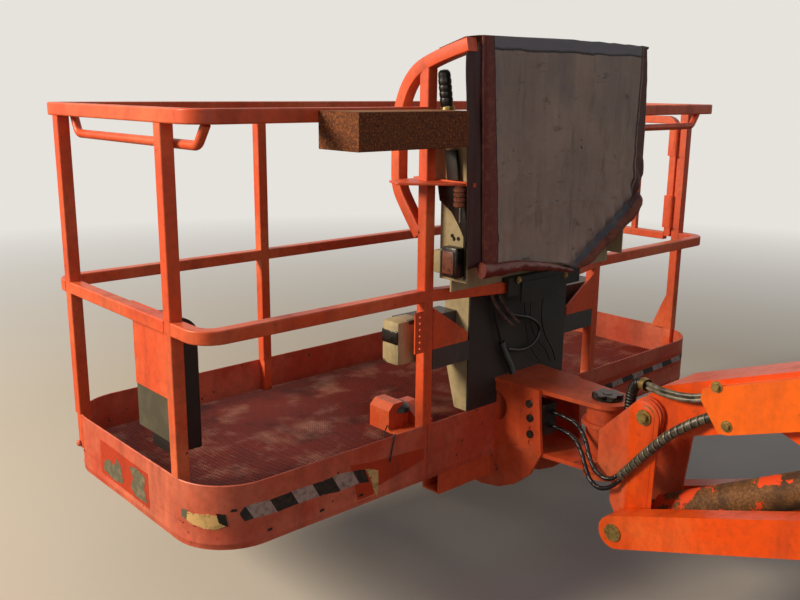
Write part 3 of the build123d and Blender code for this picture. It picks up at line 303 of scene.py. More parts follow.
# Hard chrome on the rod and the joystick's collar: a mirror with a thin oil film.
chrome, tree, shader, where = new_material("hard_chrome_rod")
shader.inputs["Base Color"].default_value = linear("#C9CBCC")
shader.inputs["Metallic"].default_value = 1.0
tree.links.new(patches(tree, where, 0.017, 0.30, 0.75, 0.32), shader.inputs["Roughness"])

# Greasy black casting of the rotator's cap: wet grease gives small sharp highlights. The same black is also
# used as painted shade inside slots, holes and scallop notches, and as a painted shadow beside a torn patch.
black_grease_and_shade, tree, shader, where = new_material("greasy_cast_black_and_painted_shade")
grease = patches(tree, where, 0.009, 0.42, 0.64, 0.8)
tree.links.new(coats(tree, "#0D0B0B", (grease, "#2A2422")), shader.inputs["Base Color"])
shader.inputs["Roughness"].default_value = 0.30
relief = add(tree, "ShaderNodeBump", {"Height": grease, "Distance": 0.0008, "Strength": 0.7})
tree.links.new(relief.outputs["Normal"], shader.inputs["Normal"])
print("plated and cast metal ready")

# %% [markdown]
# ## Plastic, rubber and hose
# Moulded polypropylene keeps a fine spark-eroded grain. Hose rubber is greyed by dust,
# and its spiral wrap is glossier plastic that catches light on every turn.

# %% Plastic and rubber
# Grained black polypropylene of the document box and trays, grey dust in its texture.
black_plastic, tree, shader, where = new_material("grained_black_polypropylene")
dust = patches(tree, where, 0.036, 0.50, 0.76, 0.28, 6)
tree.links.new(coats(tree, "#0C0908", (dust, "#38302A")), shader.inputs["Base Color"])
shader.inputs["Roughness"].default_value = 0.42
grain = add(tree, "ShaderNodeTexNoise", {"Vector": where, "Scale": 900.0, "Detail": 2.0})
relief = add(tree, "ShaderNodeBump", {"Height": grain.outputs["Fac"], "Distance": 0.0002, "Strength": 0.5})
tree.links.new(relief.outputs["Normal"], shader.inputs["Normal"])

# Dust-greyed rubber of the paired hoses, a little glossy where they are handled.
hose_rubber, tree, shader, where = new_material("dusty_hose_rubber")
dust = patches(tree, where, 0.012, 0.40, 0.66, 0.9, 5)
tree.links.new(coats(tree, "#3C3830", (dust, "#8A8474")), shader.inputs["Base Color"])
shader.inputs["Roughness"].default_value = 0.38

# Clean black moulded rubber of boots, sleeves and console cables.
dark_rubber, tree, shader, where = new_material("black_moulded_rubber")
dust = patches(tree, where, 0.010, 0.5, 0.75, 0.7, 5)
tree.links.new(coats(tree, "#0E0C0C", (dust, "#2E2A28")), shader.inputs["Base Color"])
shader.inputs["Roughness"].default_value = 0.42

# Blue-black rubber of the thin hoses' tails, with a cold sheen along their tops.
tail_rubber, tree, shader, where = new_material("blue_black_hose_rubber")
dust = patches(tree, where, 0.014, 0.52, 0.74, 0.5, 5)
tree.links.new(coats(tree, "#14161C", (dust, "#5A5A58")), shader.inputs["Base Color"])
shader.inputs["Roughness"].default_value = 0.30
print("plastic and rubber ready")

# %% [markdown]
# ## A finish for every solid
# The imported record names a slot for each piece. Each slot gets its finish here, and a few
# pieces that the slot is too coarse for are named one by one. Two of them change colour
# across one solid, so their recipe is the plain one with a mask by place over it.

# %% Finishes that change across a piece
COLUMN_FACE = NEAR + 0.0061
PLATE_SEAM = DECK + 0.3778

# The column: beige sides, while its near face is nearly black, with lighter blotches.
column_enamel = beige_enamel.copy()
column_enamel.name = "beige_enamel_with_black_face"
tree = column_enamel.node_tree
shader = tree.nodes["Principled BSDF"]
where = tree.nodes["Texture Coordinate"].outputs["Object"]
inward = add(tree, "ShaderNodeSeparateXYZ", {0: where}).outputs["Y"]
face = add(tree, "ShaderNodeMath", {0: inward, 1: COLUMN_FACE}, operation="LESS_THAN")
face_blotches = patches(tree, where, 0.10, 0.36, 0.70, 0.8, 5)
beige = shader.inputs["Base Color"].links[0].from_socket
tree.links.new(coats(tree, beige, (face.outputs[0], coats(tree, "#0E0B0A", (face_blotches, "#27211C")))),
               shader.inputs["Base Color"])

# The document plate: bright orange above its seam, bare dusty grey board below it.
plate_enamel = platform_enamel.copy()
plate_enamel.name = "orange_plate_over_grey_board"
tree = plate_enamel.node_tree
shader = tree.nodes["Principled BSDF"]
where = tree.nodes["Texture Coordinate"].outputs["Object"]
height = add(tree, "ShaderNodeSeparateXYZ", {0: where}).outputs["Z"]
below = add(tree, "ShaderNodeMath", {0: height, 1: PLATE_SEAM}, operation="LESS_THAN")
scuffs = patches(tree, where, 0.03, 0.46, 0.66, 0.7, 6)
orange = shader.inputs["Base Color"].links[0].from_socket
tree.links.new(coats(tree, orange, (below.outputs[0], coats(tree, "#4A473B", (scuffs, "#625E50")))),
               shader.inputs["Base Color"])
print("finishes with a mask by place:", column_enamel.name, plate_enamel.name)

# %% Slots to finishes
FINISH = {
    "faded_orange": platform_enamel,
    "jib_orange": jib_enamel,
    "beige_paint": beige_enamel,
    "grey_paint": grey_enamel,
    "floor_steel": floor_steel,
    "brown_steel": barrel_mud,
    "chrome_rod": chrome,
    "zinc_steel": zinc,
    "black_steel": black_grease_and_shade,
    "rust_steel": rust,
    "tarp": dark_rubber,
    "black_plastic": black_plastic,
    "black_rubber": hose_rubber,
}
SPECIAL = {
    "hose_guard": guard_enamel,
    "support_column": column_enamel,
    "document_plate": plate_enamel,
    "cross_beam": grey_enamel,
    "hose_manifold": black_grease_and_shade,
    "toeboard_left": toeboard_enamel,
    "toeboard_right": toeboard_enamel,
    "toeboard_near": toeboard_enamel,
    "toeboard_far": toeboard_enamel,
}
slot_of = {part["node"]: part["material_slot"] for part in frame["record"]["subparts"]}
for node, solid in NODES.items():
    finish = SPECIAL.get(node, FINISH[slot_of[node]])
    if not solid.material_slots:
        solid.data.materials.append(finish)
    for place in solid.material_slots:
        place.material = finish
print("finished", len(NODES), "solids; slots used:", sorted(set(slot_of.values())))

# %% [markdown]
# ## Making and placing a new piece
# Each new piece starts as a bmesh, is moved to its place in the mesh itself, and becomes an object at the
# origin that rides on one of the bodies when it is given one. Its faces are shaded smooth, and an edge stays
# sharp where two faces meet at more than 30 degrees.

# %% Piece helpers


SHARP = math.radians(30)


def piece(name, shape, finish, body):
    """Turn a bmesh into an object that takes the given finish and, when a body is given, rides on it."""
    bmesh.ops.recalc_face_normals(shape, faces=shape.faces)
    for edge in shape.edges:
        edge.smooth = edge.calc_face_angle(0.0) < SHARP
    mesh = bpy.data.meshes.new(name)
    shape.to_mesh(mesh)
    shape.free()
    mesh.materials.append(finish)
    mesh.polygons.foreach_set("use_smooth", [True] * len(mesh.polygons))
    made = bpy.data.objects.new(name, mesh)
    bpy.context.scene.collection.objects.link(made)
    if body:
        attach(made, body)
    return made


def joined(*shapes):
    """Several bmeshes as one."""
    whole = bmesh.new()
    for shape in shapes:
        mesh = bpy.data.meshes.new("part")
        shape.to_mesh(mesh)
        shape.free()
        whole.from_mesh(mesh)
        bpy.data.meshes.remove(mesh)
    return whole


def turned(profile, origin, axis, segments):
    """Spin a profile of (radius, along) round an axis through origin: bolts, knobs, collars."""
    shape = bmesh.new()
    rows = [shape.verts.new((radius, 0.0, along)) for radius, along in profile]
    edges = [shape.edges.new(pair) for pair in zip(rows, rows[1:])]
    bmesh.ops.spin(shape, geom=rows + edges, cent=(0, 0, 0), axis=(0, 0, 1), angle=2 * math.pi,
                   steps=segments, use_merge=True)
    bmesh.ops.remove_doubles(shape, verts=shape.verts, dist=1e-6)
    aim = Vector(axis).to_track_quat("Z", "Y").to_matrix().to_4x4()
    bmesh.ops.transform(shape, matrix=Matrix.Translation(origin) @ aim, verts=shape.verts)
    return shape


def slab(low, high, bevel=0.001):
    """A box between two corners with softened edges."""
    shape = bmesh.new()
    bmesh.ops.create_cube(shape, size=1.0)
    bmesh.ops.scale(shape, vec=high - low, verts=shape.verts)
    bmesh.ops.translate(shape, vec=(low + high) / 2, verts=shape.verts)
    bmesh.ops.bevel(shape, geom=shape.edges[:], offset=bevel, offset_type="OFFSET", affect="EDGES",
                    segments=2, profile=0.5, material=-1)
    return shape


WASHER = 0.002
ROOT_THREE = 1.732


def disc(origin, axis, radius, low, high, segments):
    """A round plate or a short bar, from low to high along its axis."""
    return turned([(0.0, low), (radius, low), (radius, high), (0.0, high)], origin, axis, segments)


def hex_bolt(origin, axis, across, high):
    """A hexagon head on a washer: across is the width over the flats."""
    head = bmesh.new()
    corner = across / ROOT_THREE
    bmesh.ops.create_cone(head, cap_ends=True, segments=6, radius1=corner, radius2=corner, depth=high)
    bmesh.ops.bevel(head, geom=head.edges[:], offset=0.0008, offset_type="OFFSET", affect="EDGES",
                    segments=1, profile=0.5, material=-1)
    bmesh.ops.translate(head, vec=(0, 0, WASHER + high / 2), verts=head.verts)
    aim = Vector(axis).to_track_quat("Z", "Y").to_matrix().to_4x4()
    bmesh.ops.transform(head, matrix=Matrix.Translation(origin) @ aim, verts=head.verts)
    return joined(head, disc(origin, axis, across * 0.85, 0.0, WASHER, 20))


print("piece helpers ready")

# %% [markdown]
# ## Hoses
# A hose keeps its length and diameter and takes the smoothest line it can. Its route is a
# few points on a NURBS curve of order three. The tube is then swept along the line that
# Blender draws through them, with its own distance and turn kept as a UV map, so that a
# spiral wrap or a corrugation follows the hose round its bends.

# %% Route and sweep


def route_line(name, points, resolution):
    """The smooth line of an open NURBS spline through the given control points."""
    data = bpy.data.curves.new(name, "CURVE")
    data.dimensions = "3D"
    data.resolution_u = resolution
    spline = data.splines.new("NURBS")
    spline.points.add(len(points) - 1)
    for knot, place in zip(spline.points, points):
        knot.co = (*place, 1.0)
    spline.order_u = 3
    spline.use_endpoint_u = True
    holder = bpy.data.objects.new(name, data)
    bpy.context.scene.collection.objects.link(holder)
    bpy.context.view_layer.update()
    drawn = bpy.data.meshes.new_from_object(holder)
    line = [vertex.co.copy() for vertex in drawn.vertices]
    bpy.data.objects.remove(holder)
    bpy.data.curves.remove(data)
    bpy.data.meshes.remove(drawn)
    return line


def sweep(line, radius_at, sides):
    """A closed tube along a line. radius_at takes the distance along and the turn, 0 to 1."""
    distances = [0.0]
    for before, after in zip(line, line[1:]):
        distances.append(distances[-1] + (after - before).length)
    rows = len(line) - 1
    shape = bmesh.new()
    bmesh.ops.create_grid(shape, x_segments=rows, y_segments=sides, size=1.0)
    uv = shape.loops.layers.uv.new("along")
    place = {}
    for vertex in shape.verts:
        place[vertex] = (round((vertex.co.x + 1) / 2 * rows), round((vertex.co.y + 1) / 2 * sides))
    for face in shape.faces:
        for loop in face.loops:
            row, side = place[loop.vert]
            loop[uv].uv = (distances[row], side / sides)
    frames = []
    across = None
    for index, spot in enumerate(line):
        ahead = (line[min(index + 1, rows)] - line[max(index - 1, 0)]).normalized()
        across = across or ahead.cross(Vector((0, 0, 1))).normalized()
        across = (across - ahead * across.dot(ahead)).normalized()
        frames.append((spot, across.copy(), ahead.cross(across)))
    for vertex, (row, side) in place.items():
        spot, right, over = frames[row]
        turn = side % sides / sides
        radius = radius_at(distances[row], turn)
        angle = 2 * math.pi * turn
        vertex.co = spot + radius * (math.cos(angle) * right + math.sin(angle) * over)
    bmesh.ops.remove_doubles(shape, verts=shape.verts, dist=1e-6)
    bmesh.ops.holes_fill(shape, edges=[edge for edge in shape.edges if edge.is_boundary], sides=0)
    return shape, distances[-1]


print("route and sweep ready")

# %% Wrapped, corrugated and plain hose finishes
# Spiral wrap: a grey-brown plastic band wound round the hoses, dusty, paler on its edge, with
# the black rubber showing in the gaps. The band follows the hose by its own UV map.
WRAP_PITCH = 0.0225
WRAP_BAND = 0.78
wrap_plastic, tree, shader, where = new_material("grey_spiral_wrap_on_hose")
own = add(tree, "ShaderNodeUVMap", uv_map="along")
parts = add(tree, "ShaderNodeSeparateXYZ", {0: own.outputs["UV"]})
turns = add(tree, "ShaderNodeMath", {0: parts.outputs["X"], 1: 1 / WRAP_PITCH, 2: parts.outputs["Y"]},
            operation="MULTIPLY_ADD")
phase = add(tree, "ShaderNodeMath", {0: turns.outputs[0]}, operation="FRACT")
gap = add(tree, "ShaderNodeMath", {0: phase.outputs[0], 1: WRAP_BAND}, operation="GREATER_THAN")
edge = add(tree, "ShaderNodeMapRange", {"Value": phase.outputs[0], "From Min": 0.0, "From Max": 0.14,
                                        "To Min": 0.7, "To Max": 0.0})
dust = patches(tree, where, 0.009, 0.38, 0.66, 0.9, 5)
tree.links.new(coats(tree, "#2E2B26", (dust, "#6E685A"), (edge.outputs["Result"], "#A39C8A"),
                     (gap.outputs[0], "#0D0B0A")), shader.inputs["Base Color"])
shader.inputs["Roughness"].default_value = 0.36
print("wrap pitch", WRAP_PITCH * 1000, "mm")

# %% Hose routes, from the guard to the rotator
GUARD_X = -0.106
PAIR_HALF = 0.0065
BUNDLE = [at(GUARD_X + x, v, w) for x, v, w in (
    (0, -0.832, 0.384), (0, -0.796, 0.368), (-0.001, -0.756, 0.348), (-0.014, -0.708, 0.314),
    (-0.020, -0.658, 0.270), (-0.022, -0.608, 0.212), (-0.021, -0.560, 0.152), (-0.020, -0.518, 0.100))]
PAIR = [(GUARD_X + x, v, w) for x, v, w in (
    (0, -0.850, 0.443), (0, -0.806, 0.428), (-0.001, -0.760, 0.410), (-0.008, -0.712, 0.396),
    (-0.009, -0.656, 0.391), (-0.003, -0.606, 0.391), (0.0119, -0.56035, 0.391))]
BOOT = [at(GUARD_X + x, v, w) for x, v, w in (
    (0.012, -0.560, 0.391), (0.0224, -0.528, 0.391), (0.038, -0.504, 0.365), (0.046, -0.491, 0.325),
    (0.048, -0.488, 0.272), (0.048, -0.487, 0.2063))]
TAIL_UPPER = [at(GUARD_X + x, v, w) for x, v, w in (
    (-0.020, -0.5119, 0.1039), (-0.019, -0.496, 0.0845), (-0.021, -0.462, 0.072), (-0.020, -0.424, 0.088),
    (-0.008, -0.392, 0.122), (0.014, -0.362, 0.160), (0.036, -0.316, 0.187), (0.044, -0.260, 0.197),
    (0.046, -0.2006, 0.198))]
TAIL_LOWER = [at(GUARD_X + x, v, w) for x, v, w in (
    (-0.020, -0.5231, 0.0949), (-0.019, -0.505, 0.0725), (-0.020, -0.478, 0.046), (-0.018, -0.440, 0.032),
    (-0.010, -0.402, 0.044), (0.002, -0.374, 0.078), (0.018, -0.346, 0.114), (0.036, -0.304, 0.140),
    (0.044, -0.252, 0.149), (0.046, -0.2006, 0.150))]
CONDUIT = [at(x, v, w) for x, v, w in (
    (-0.168, -0.018, 0.6594), (-0.168, -0.018, 0.625), (-0.166, -0.018, 0.590), (-0.156, -0.018, 0.540),
    (-0.138, -0.018, 0.478), (-0.122, -0.018, 0.432), (-0.1122, -0.018, 0.4054))]
SLEEVE = [at(x, v, w) for x, v, w in (
    (-0.112, -0.018, 0.405), (-0.098, -0.018, 0.374), (-0.080, -0.018, 0.344), (-0.062, -0.018, 0.315),
    (-0.048, -0.018, 0.284))]
LEAD = [at(x, v, w) for x, v, w in (
    (-0.0795, -0.018, 0.3728), (-0.054, -0.019, 0.366), (-0.020, -0.020, 0.358), (0.014, -0.020, 0.357),
    (0.050, -0.020, 0.366), (0.076, -0.020, 0.384), (0.087, -0.020, 0.406), (0.080, -0.020, 0.428),
    (0.060, -0.020, 0.446), (0.028, -0.020, 0.464), (-0.010, -0.020, 0.476), (-0.045, -0.020, 0.484),
    (-0.080, -0.020, 0.497), (-0.104, -0.020, 0.522), (-0.121, -0.019, 0.556), (-0.131, -0.018, 0.600),
    (-0.134, -0.018, 0.640), (-0.134, -0.018, 0.6594))]
PAIR_UPPER = [at(x, v, w + PAIR_HALF) for x, v, w in PAIR]
PAIR_LOWER = [at(x, v, w - PAIR_HALF) for x, v, w in PAIR]
print("routes:", len(BUNDLE), len(PAIR), len(BOOT), len(TAIL_UPPER), len(TAIL_LOWER), len(CONDUIT), len(LEAD))

# %% Radius laws of the hoses
BAND_HIGH = 0.0015


def wrapped(radius, pitch, band):
    """Radius of a hose with a spiral band round it, which stands over its own gaps."""
    def at_point(along, turn):
        return radius if (along / pitch + turn) % 1.0 < band else radius - BAND_HIGH
    return at_point


def ringed(radius, pitch, depth):
    """Radius of a corrugated sleeve, with rounded ribs."""
    def at_point(along, turn):
        return radius - depth * (0.5 - 0.5 * math.cos(2 * math.pi * along / pitch))
    return at_point


def plain(radius):
    """Radius of a smooth hose."""
    def at_point(along, turn):
        return radius
    return at_point


def laid_cord(name, route, law, finish, bodies, resolution=8, sides=18):
    """A hose or wire on its route: it rides on one body; given two, it stays unattached where it lies."""
    line = route_line(name, route, resolution)
    shape, long = sweep(line, law, sides)
    made = piece(name, shape, finish, bodies[0] if len(bodies) == 1 else None)
    if len(bodies) == 2:
        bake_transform(made)
    print(name, round(long, 3), "m,", sum(len(p.vertices) - 2 for p in made.data.polygons), "triangles")
    return made


print("radius laws: wrapped, ringed, plain")

# %% Sweep the hoses
ON_JIB = ("upper_arm", "head")
ON_ROTATOR = ("head", "platform")
ON_CONSOLE = ("platform",)
tail_law = wrapped(0.007, 0.030, 0.86)
HOSES = [
    # node, route, radius law, diameter, finish, stiffness, points per stretch, bodies
    ("hose_bundle", BUNDLE, wrapped(0.015, WRAP_PITCH, WRAP_BAND), 0.030, wrap_plastic, "medium", 36, ON_JIB),
    ("hose_pair_upper", PAIR_UPPER, plain(0.00645), 0.0129, hose_rubber, "medium", 12, ON_JIB),
    ("hose_pair_lower", PAIR_LOWER, plain(0.00645), 0.0129, hose_rubber, "medium", 12, ON_JIB),
    ("hose_boot", BOOT, ringed(0.017, 0.011, 0.0022), 0.034, dark_rubber, "limp", 30, ("head",)),
    ("hose_tail_upper", TAIL_UPPER, tail_law, 0.014, tail_rubber, "medium", 16, ON_ROTATOR),
    ("hose_tail_lower", TAIL_LOWER, tail_law, 0.014, tail_rubber, "medium", 16, ON_ROTATOR),
    ("console_conduit", CONDUIT, plain(0.006), 0.012, dark_rubber, "medium", 12, ON_CONSOLE),
    ("console_sleeve", SLEEVE, ringed(0.011, 0.006, 0.0015), 0.022, dark_rubber, "limp", 30, ON_CONSOLE),
    ("console_lead", LEAD, plain(0.0055), 0.011, dark_rubber, "limp", 8, ON_CONSOLE),
]
for node, route, law, diameter, finish, stiffness, resolution, bodies in HOSES:
    made = laid_cord(node + "_dressed", route, law, finish, bodies,
                     resolution)
    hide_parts(node)

# %% [markdown]
# ## Toeboards
# Each toeboard is one thin sheet, bent round the corners and folded in at the bottom. Its
# section is drawn once and carried round the outline, and a little noise gives the sheet the
# shallow dents that boots and kerbs leave. Short feet carry the posts on down inside it.

# %% Toeboard sheets
TOE_HIGH = toe_high.z - toe_low.z
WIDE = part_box("toeboard_left")[1].y - NEAR
TOE_CORNER = 0.175
SEAM = 0.430
SEAM_GAP = 0.0008
SHEET = 0.005
TOE_DENT = 0.0014
DENTS_PER_METRE = 7.0
TOE_FOLD = 0.024
TOE_SECTION = [
    # in from the outer face, up from the bottom edge: the fold, a pressed bead, the face, the lip
    (TOE_FOLD, 0.0), (0.0, 0.0), (0.0, 0.011), (-0.0012, 0.014), (-0.0012, 0.018), (0.0, 0.021),
    (0.0, 0.060), (0.0, 0.100), (0.0, 0.140), (0.0, TOE_HIGH - 0.002), (0.0015, TOE_HIGH),
    (SHEET - 0.0015, TOE_HIGH), (SHEET, TOE_HIGH - 0.002), (SHEET, 0.004), (TOE_FOLD, 0.004)]


def spaced(start, end, count):
    """Count evenly spaced values from start to end, both included."""
    return [start + (end - start) * step / (count - 1) for step in range(count)]


def end_outline(side):
    """Places and outward directions round one end, from the near seam to the far one."""
    middle = side * (RIGHT - TOE_CORNER)
    path = [(x, 0.0, 0, -1) for x in spaced(side * (SEAM + SEAM_GAP), middle, 16)]
    for turn in spaced(0.0, math.pi / 2, 17)[1:]:
        path.append((middle + side * TOE_CORNER * math.sin(turn), TOE_CORNER * (1 - math.cos(turn)),
                     side * math.sin(turn), -math.cos(turn)))
    path += [(side * RIGHT, v, side, 0) for v in spaced(TOE_CORNER, WIDE - TOE_CORNER, 16)[1:]]
    for turn in spaced(0.0, math.pi / 2, 17)[1:]:
        path.append((middle + side * TOE_CORNER * math.cos(turn), WIDE - TOE_CORNER * (1 - math.sin(turn)),
                     side * math.cos(turn), math.sin(turn)))
    path += [(x, WIDE, 0, 1) for x in spaced(middle, side * (SEAM + SEAM_GAP), 16)[1:]]
    return path


def carried(path, section, dent=0.0):
    """A closed section carried along a path of (place, inward, up) frames, with capped ends."""
    shape = bmesh.new()
    rows = []
    for place, inward, up in path:
        row = []
        for across, along_up in section:
            spot = place + across * inward + along_up * up
            row.append(shape.verts.new(spot + dent * noise.noise(spot * DENTS_PER_METRE) * inward))
        rows.append(row)
    for row, ahead in zip(rows, rows[1:]):
        for index in range(len(section)):
            after = (index + 1) % len(section)
            shape.faces.new((row[index], row[after], ahead[after], ahead[index]))
    shape.faces.new(rows[0])
    shape.faces.new(rows[-1])
    return shape


straight = spaced(-SEAM + SEAM_GAP, SEAM - SEAM_GAP, 24)
toe_paths = {
    "toeboard_left": end_outline(-1),
    "toeboard_right": end_outline(1),
    "toeboard_near": [(x, 0.0, 0, -1) for x in straight],
    "toeboard_far": [(x, WIDE, 0, 1) for x in straight],
}
UP = Vector((0, 0, 1))
for node, outline in toe_paths.items():
    path = [(at(x, v, 0.0), Vector((-out_x, -out_v, 0)), UP) for x, v, out_x, out_v in outline]
    board = piece(node + "_sheet", carried(path, TOE_SECTION, TOE_DENT), toeboard_enamel, "platform")
    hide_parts(node)
print("toeboards", len(toe_paths), "sheets", round(TOE_HIGH * 1000), "mm high")

# %% Feet of the posts
FLOOR_TOP = FLOOR_CROWN - DECK
POST_X = 0.433
POST_IN = 0.0215
FOOT_HALF = 0.0165
feet = [
    # middle x, in from the near face
    (-POST_X, POST_IN), (POST_X, POST_IN), (-POST_X, WIDE - POST_IN), (POST_X, WIDE - POST_IN),
    (LEFT + POST_IN, 0.172), (LEFT + POST_IN, WIDE - 0.115),
    (RIGHT - POST_IN, 0.134), (RIGHT - POST_IN, WIDE - 0.170)]
stubs = [slab(at(x - FOOT_HALF, v - FOOT_HALF, FLOOR_TOP), at(x + FOOT_HALF, v + FOOT_HALF, TOE_HIGH + 0.001))
         for x, v in feet]
piece("post_feet", joined(*stubs), platform_enamel, "platform")
print("post feet", len(feet))

# %% [markdown]
# ## Tapes, torn patches and slots
# The striped tape on the near side has been painted over and torn, so only a ragged window
# of it still shows. Each patch is an outline on the board's outer face, roughened along its
# edges, raised a little and bent with the board's dents and round its corners.

# %% Tapes on the toeboards
BEND = -(RIGHT - TOE_CORNER)


def board_point(along, up, out):
    """A point on the boards: along runs left from the left bend's start, and on round both bends."""
    side, past = (-1, along) if along > 0 else (1, 2 * BEND - along)
    turn = min(max(past, 0.0) / TOE_CORNER, math.pi / 2)
    outward = Vector((side * math.sin(turn), -math.cos(turn), 0))
    spot = at(-side * BEND, TOE_CORNER, up) + TOE_CORNER * outward
    spot.y += max(0.0, past - TOE_CORNER * math.pi / 2)
    spot.x -= side * max(0.0, -past)
    return spot + (out - TOE_DENT * noise.noise(spot * DENTS_PER_METRE)) * outward


# Two places in Blender's plain noise: its noise_vector would change with each start of Blender.
TEARS_PER_METRE = 90.0
TEAR_ALONG = Vector((0.0, 0.0, 3.0))
TEAR_UP = Vector((17.3, 5.9, 21.0))
SUNK = 0.0003
SLICE = 0.012
LEVELS = [0.020 * step for step in range(1, 9)]


def ragged(outline, step, rough):
    """Points along a closed outline, a step apart, moved by up to rough."""
    points = []
    for (x0, y0), (x1, y1) in zip(outline, outline[1:] + outline[:1]):
        count = max(1, round(math.hypot(x1 - x0, y1 - y0) / step))
        for index in range(count):
            x = x0 + (x1 - x0) * index / count
            y = y0 + (y1 - y0) * index / count
            tear = Vector((x, y, 0.0)) * TEARS_PER_METRE
            shift_x, shift_y = noise.noise(tear + TEAR_ALONG), noise.noise(tear + TEAR_UP)
            points.append((x + rough * shift_x, y + rough * shift_y))
    return points


def decal(name, outline, finish, raised, step=0.006, rough=0.0022):
    """A thin ragged patch on the boards, cut in small squares so that it can bend with them."""
    shape = bmesh.new()
    edge = ragged(outline, step, rough)
    low = min(along for along, up in edge)
    long = max(along for along, up in edge) - low
    shape.faces.new([shape.verts.new((along, up, 0.0)) for along, up in edge])
    slices = max(1, round(long / SLICE))
    cuts = [((low + long * index / slices, 0, 0), (1, 0, 0)) for index in range(1, slices)]
    cuts += [((0, level, 0), (0, 1, 0)) for level in LEVELS]
    for place, across in cuts:
        bmesh.ops.bisect_plane(shape, geom=shape.verts[:] + shape.edges[:] + shape.faces[:], dist=1e-7,
                               plane_co=place, plane_no=across)
    back = bmesh.ops.extrude_face_region(shape, geom=shape.faces[:])
    lifted = {item for item in back["geom"] if isinstance(item, bmesh.types.BMVert)}
    for vertex in shape.verts:
        vertex.co = board_point(vertex.co.x, vertex.co.y, raised if vertex in lifted else -SUNK)
    return piece(name, shape, finish, "platform")


TAPE_PITCH = 0.145
TAPE_LEAN = 0.55


def striped_tape(name, start):
    """Black and tan hazard tape: slanted stripes, grimy, with the tan showing through scrapes."""
    material, tree, shader, where = new_material(name)
    parts = add(tree, "ShaderNodeSeparateXYZ", {0: where})
    lean = add(tree, "ShaderNodeMath", {0: parts.outputs["Z"], 1: TAPE_LEAN, 2: parts.outputs["X"]},
               operation="MULTIPLY_ADD")
    shifted = add(tree, "ShaderNodeMath", {0: lean.outputs[0], 1: -start - TAPE_LEAN * DECK}, operation="ADD")
    turns = add(tree, "ShaderNodeMath", {0: shifted.outputs[0], 1: TAPE_PITCH}, operation="DIVIDE")
    part = add(tree, "ShaderNodeMath", {0: turns.outputs[0]}, operation="FRACT")
    light = add(tree, "ShaderNodeMath", {0: part.outputs[0], 1: 0.5}, operation="GREATER_THAN")
    grime = patches(tree, where, 0.008, 0.46, 0.66, 0.6, 5)
    tree.links.new(coats(tree, "#120D0C", (light.outputs[0], "#B49C94"), (grime, "#4A3A34")),
                   shader.inputs["Base Color"])
    shader.inputs["Roughness"].default_value = 0.45
    return material


# Old masking-tan backing of torn tape, with green lichen at its left end.
backing, tree, shader, where = new_material("torn_tape_backing")
lichen = patches(tree, where, 0.016, 0.50, 0.60, 0.8, 5)
specks = patches(tree, where, 0.004, 0.62, 0.68, 0.9, 3)
tree.links.new(coats(tree, "#D8B072", (lichen, "#A08C54"), (specks, "#3A2A1C")), shader.inputs["Base Color"])
shader.inputs["Roughness"].default_value = 0.8
# Bare primer where paint has flaked off in sheets.
primer, tree, shader, where = new_material("bare_grey_primer")
stain = patches(tree, where, 0.012, 0.48, 0.66, 0.7, 5)
tree.links.new(coats(tree, "#5E5A48", (stain, "#8A8268")), shader.inputs["Base Color"])
shader.inputs["Roughness"].default_value = 0.7
# Brighter enamel in the band that older tape once covered.
ghost_enamel = painted_steel("unfaded_orange_under_old_tape", "#C03A16", "#CC4820", "#6A241A", "#2C1814",
                             0.60, 0.740, 0.40)
near_tape = striped_tape("black_and_tan_tape_near", -0.961)
right_tape = striped_tape("black_and_tan_tape_right", -0.890)
print("tape finishes ready, stripes", TAPE_PITCH / 2 * 1000, "mm wide")

# %% Patches on the near face
PATCHES = [
    # name, outline of (along, up), finish, raised, step, roughness
    ("ghost_band_left", [(-0.300, 0.140), (-0.375, 0.128), (-0.600, 0.112), (-0.602, 0.074), (-0.400, 0.040),
                         (-0.380, 0.010), (-0.330, 0.010)], ghost_enamel, 0.0003, 0.020, 0.002),
    ("tape_near", [(0.073, 0.104), (0.060, 0.121), (0.030, 0.127), (-0.020, 0.122), (-0.117, 0.124),
                   (-0.200, 0.122), (-0.261, 0.126), (-0.335, 0.117), (-0.356, 0.110), (-0.372, 0.066),
                   (-0.330, 0.074), (-0.261, 0.071), (-0.200, 0.079), (-0.117, 0.080), (-0.040, 0.078),
                   (0.020, 0.083), (0.060, 0.080)], near_tape, 0.0006, 0.006, 0.0022),
    ("tape_torn_end", [(-0.358, 0.112), (-0.380, 0.106), (-0.408, 0.094), (-0.409, 0.050), (-0.404, 0.006),
                       (-0.392, 0.030), (-0.378, 0.070)], backing, 0.0012, 0.008, 0.002),
    ("torn_patch", [(0.107, 0.074), (0.125, 0.100), (0.155, 0.104), (0.200, 0.100), (0.238, 0.102),
                    (0.243, 0.086), (0.215, 0.070), (0.170, 0.061), (0.130, 0.062)],
     backing, 0.0008, 0.006, 0.003),
    ("torn_patch_shadow", [(0.104, 0.070), (0.110, 0.105), (0.135, 0.108), (0.128, 0.080)],
     black_grease_and_shade, 0.0010, 0.006, 0.003),
    ("torn_patch_left", [(0.222, 0.104), (0.246, 0.106), (0.247, 0.082), (0.226, 0.076)],
     primer, 0.0010, 0.006, 0.003),
    ("worn_mark_one", [(0.078, 0.112), (0.098, 0.112), (0.094, 0.120), (0.080, 0.119)],
     black_grease_and_shade, 0.0008, 0.005, 0.002),
    ("ghost_band_right", [(-1.515, 0.128), (-2.215, 0.136), (-2.220, 0.082), (-1.512, 0.074)],
     ghost_enamel, 0.0003, 0.030, 0.002),
    ("tape_right", [(-1.577, 0.106), (-1.700, 0.110), (-1.850, 0.112), (-2.000, 0.116), (-2.188, 0.121),
                    (-2.190, 0.098), (-2.000, 0.093), (-1.850, 0.090), (-1.700, 0.086), (-1.579, 0.082)],
     right_tape, 0.0008, 0.006, 0.003),
]
for name, outline, finish, raised, step, rough in PATCHES:
    decal(name, outline, finish, raised, step, rough)
SLOT_LONG = 0.008
SLOT_HIGH = 0.004
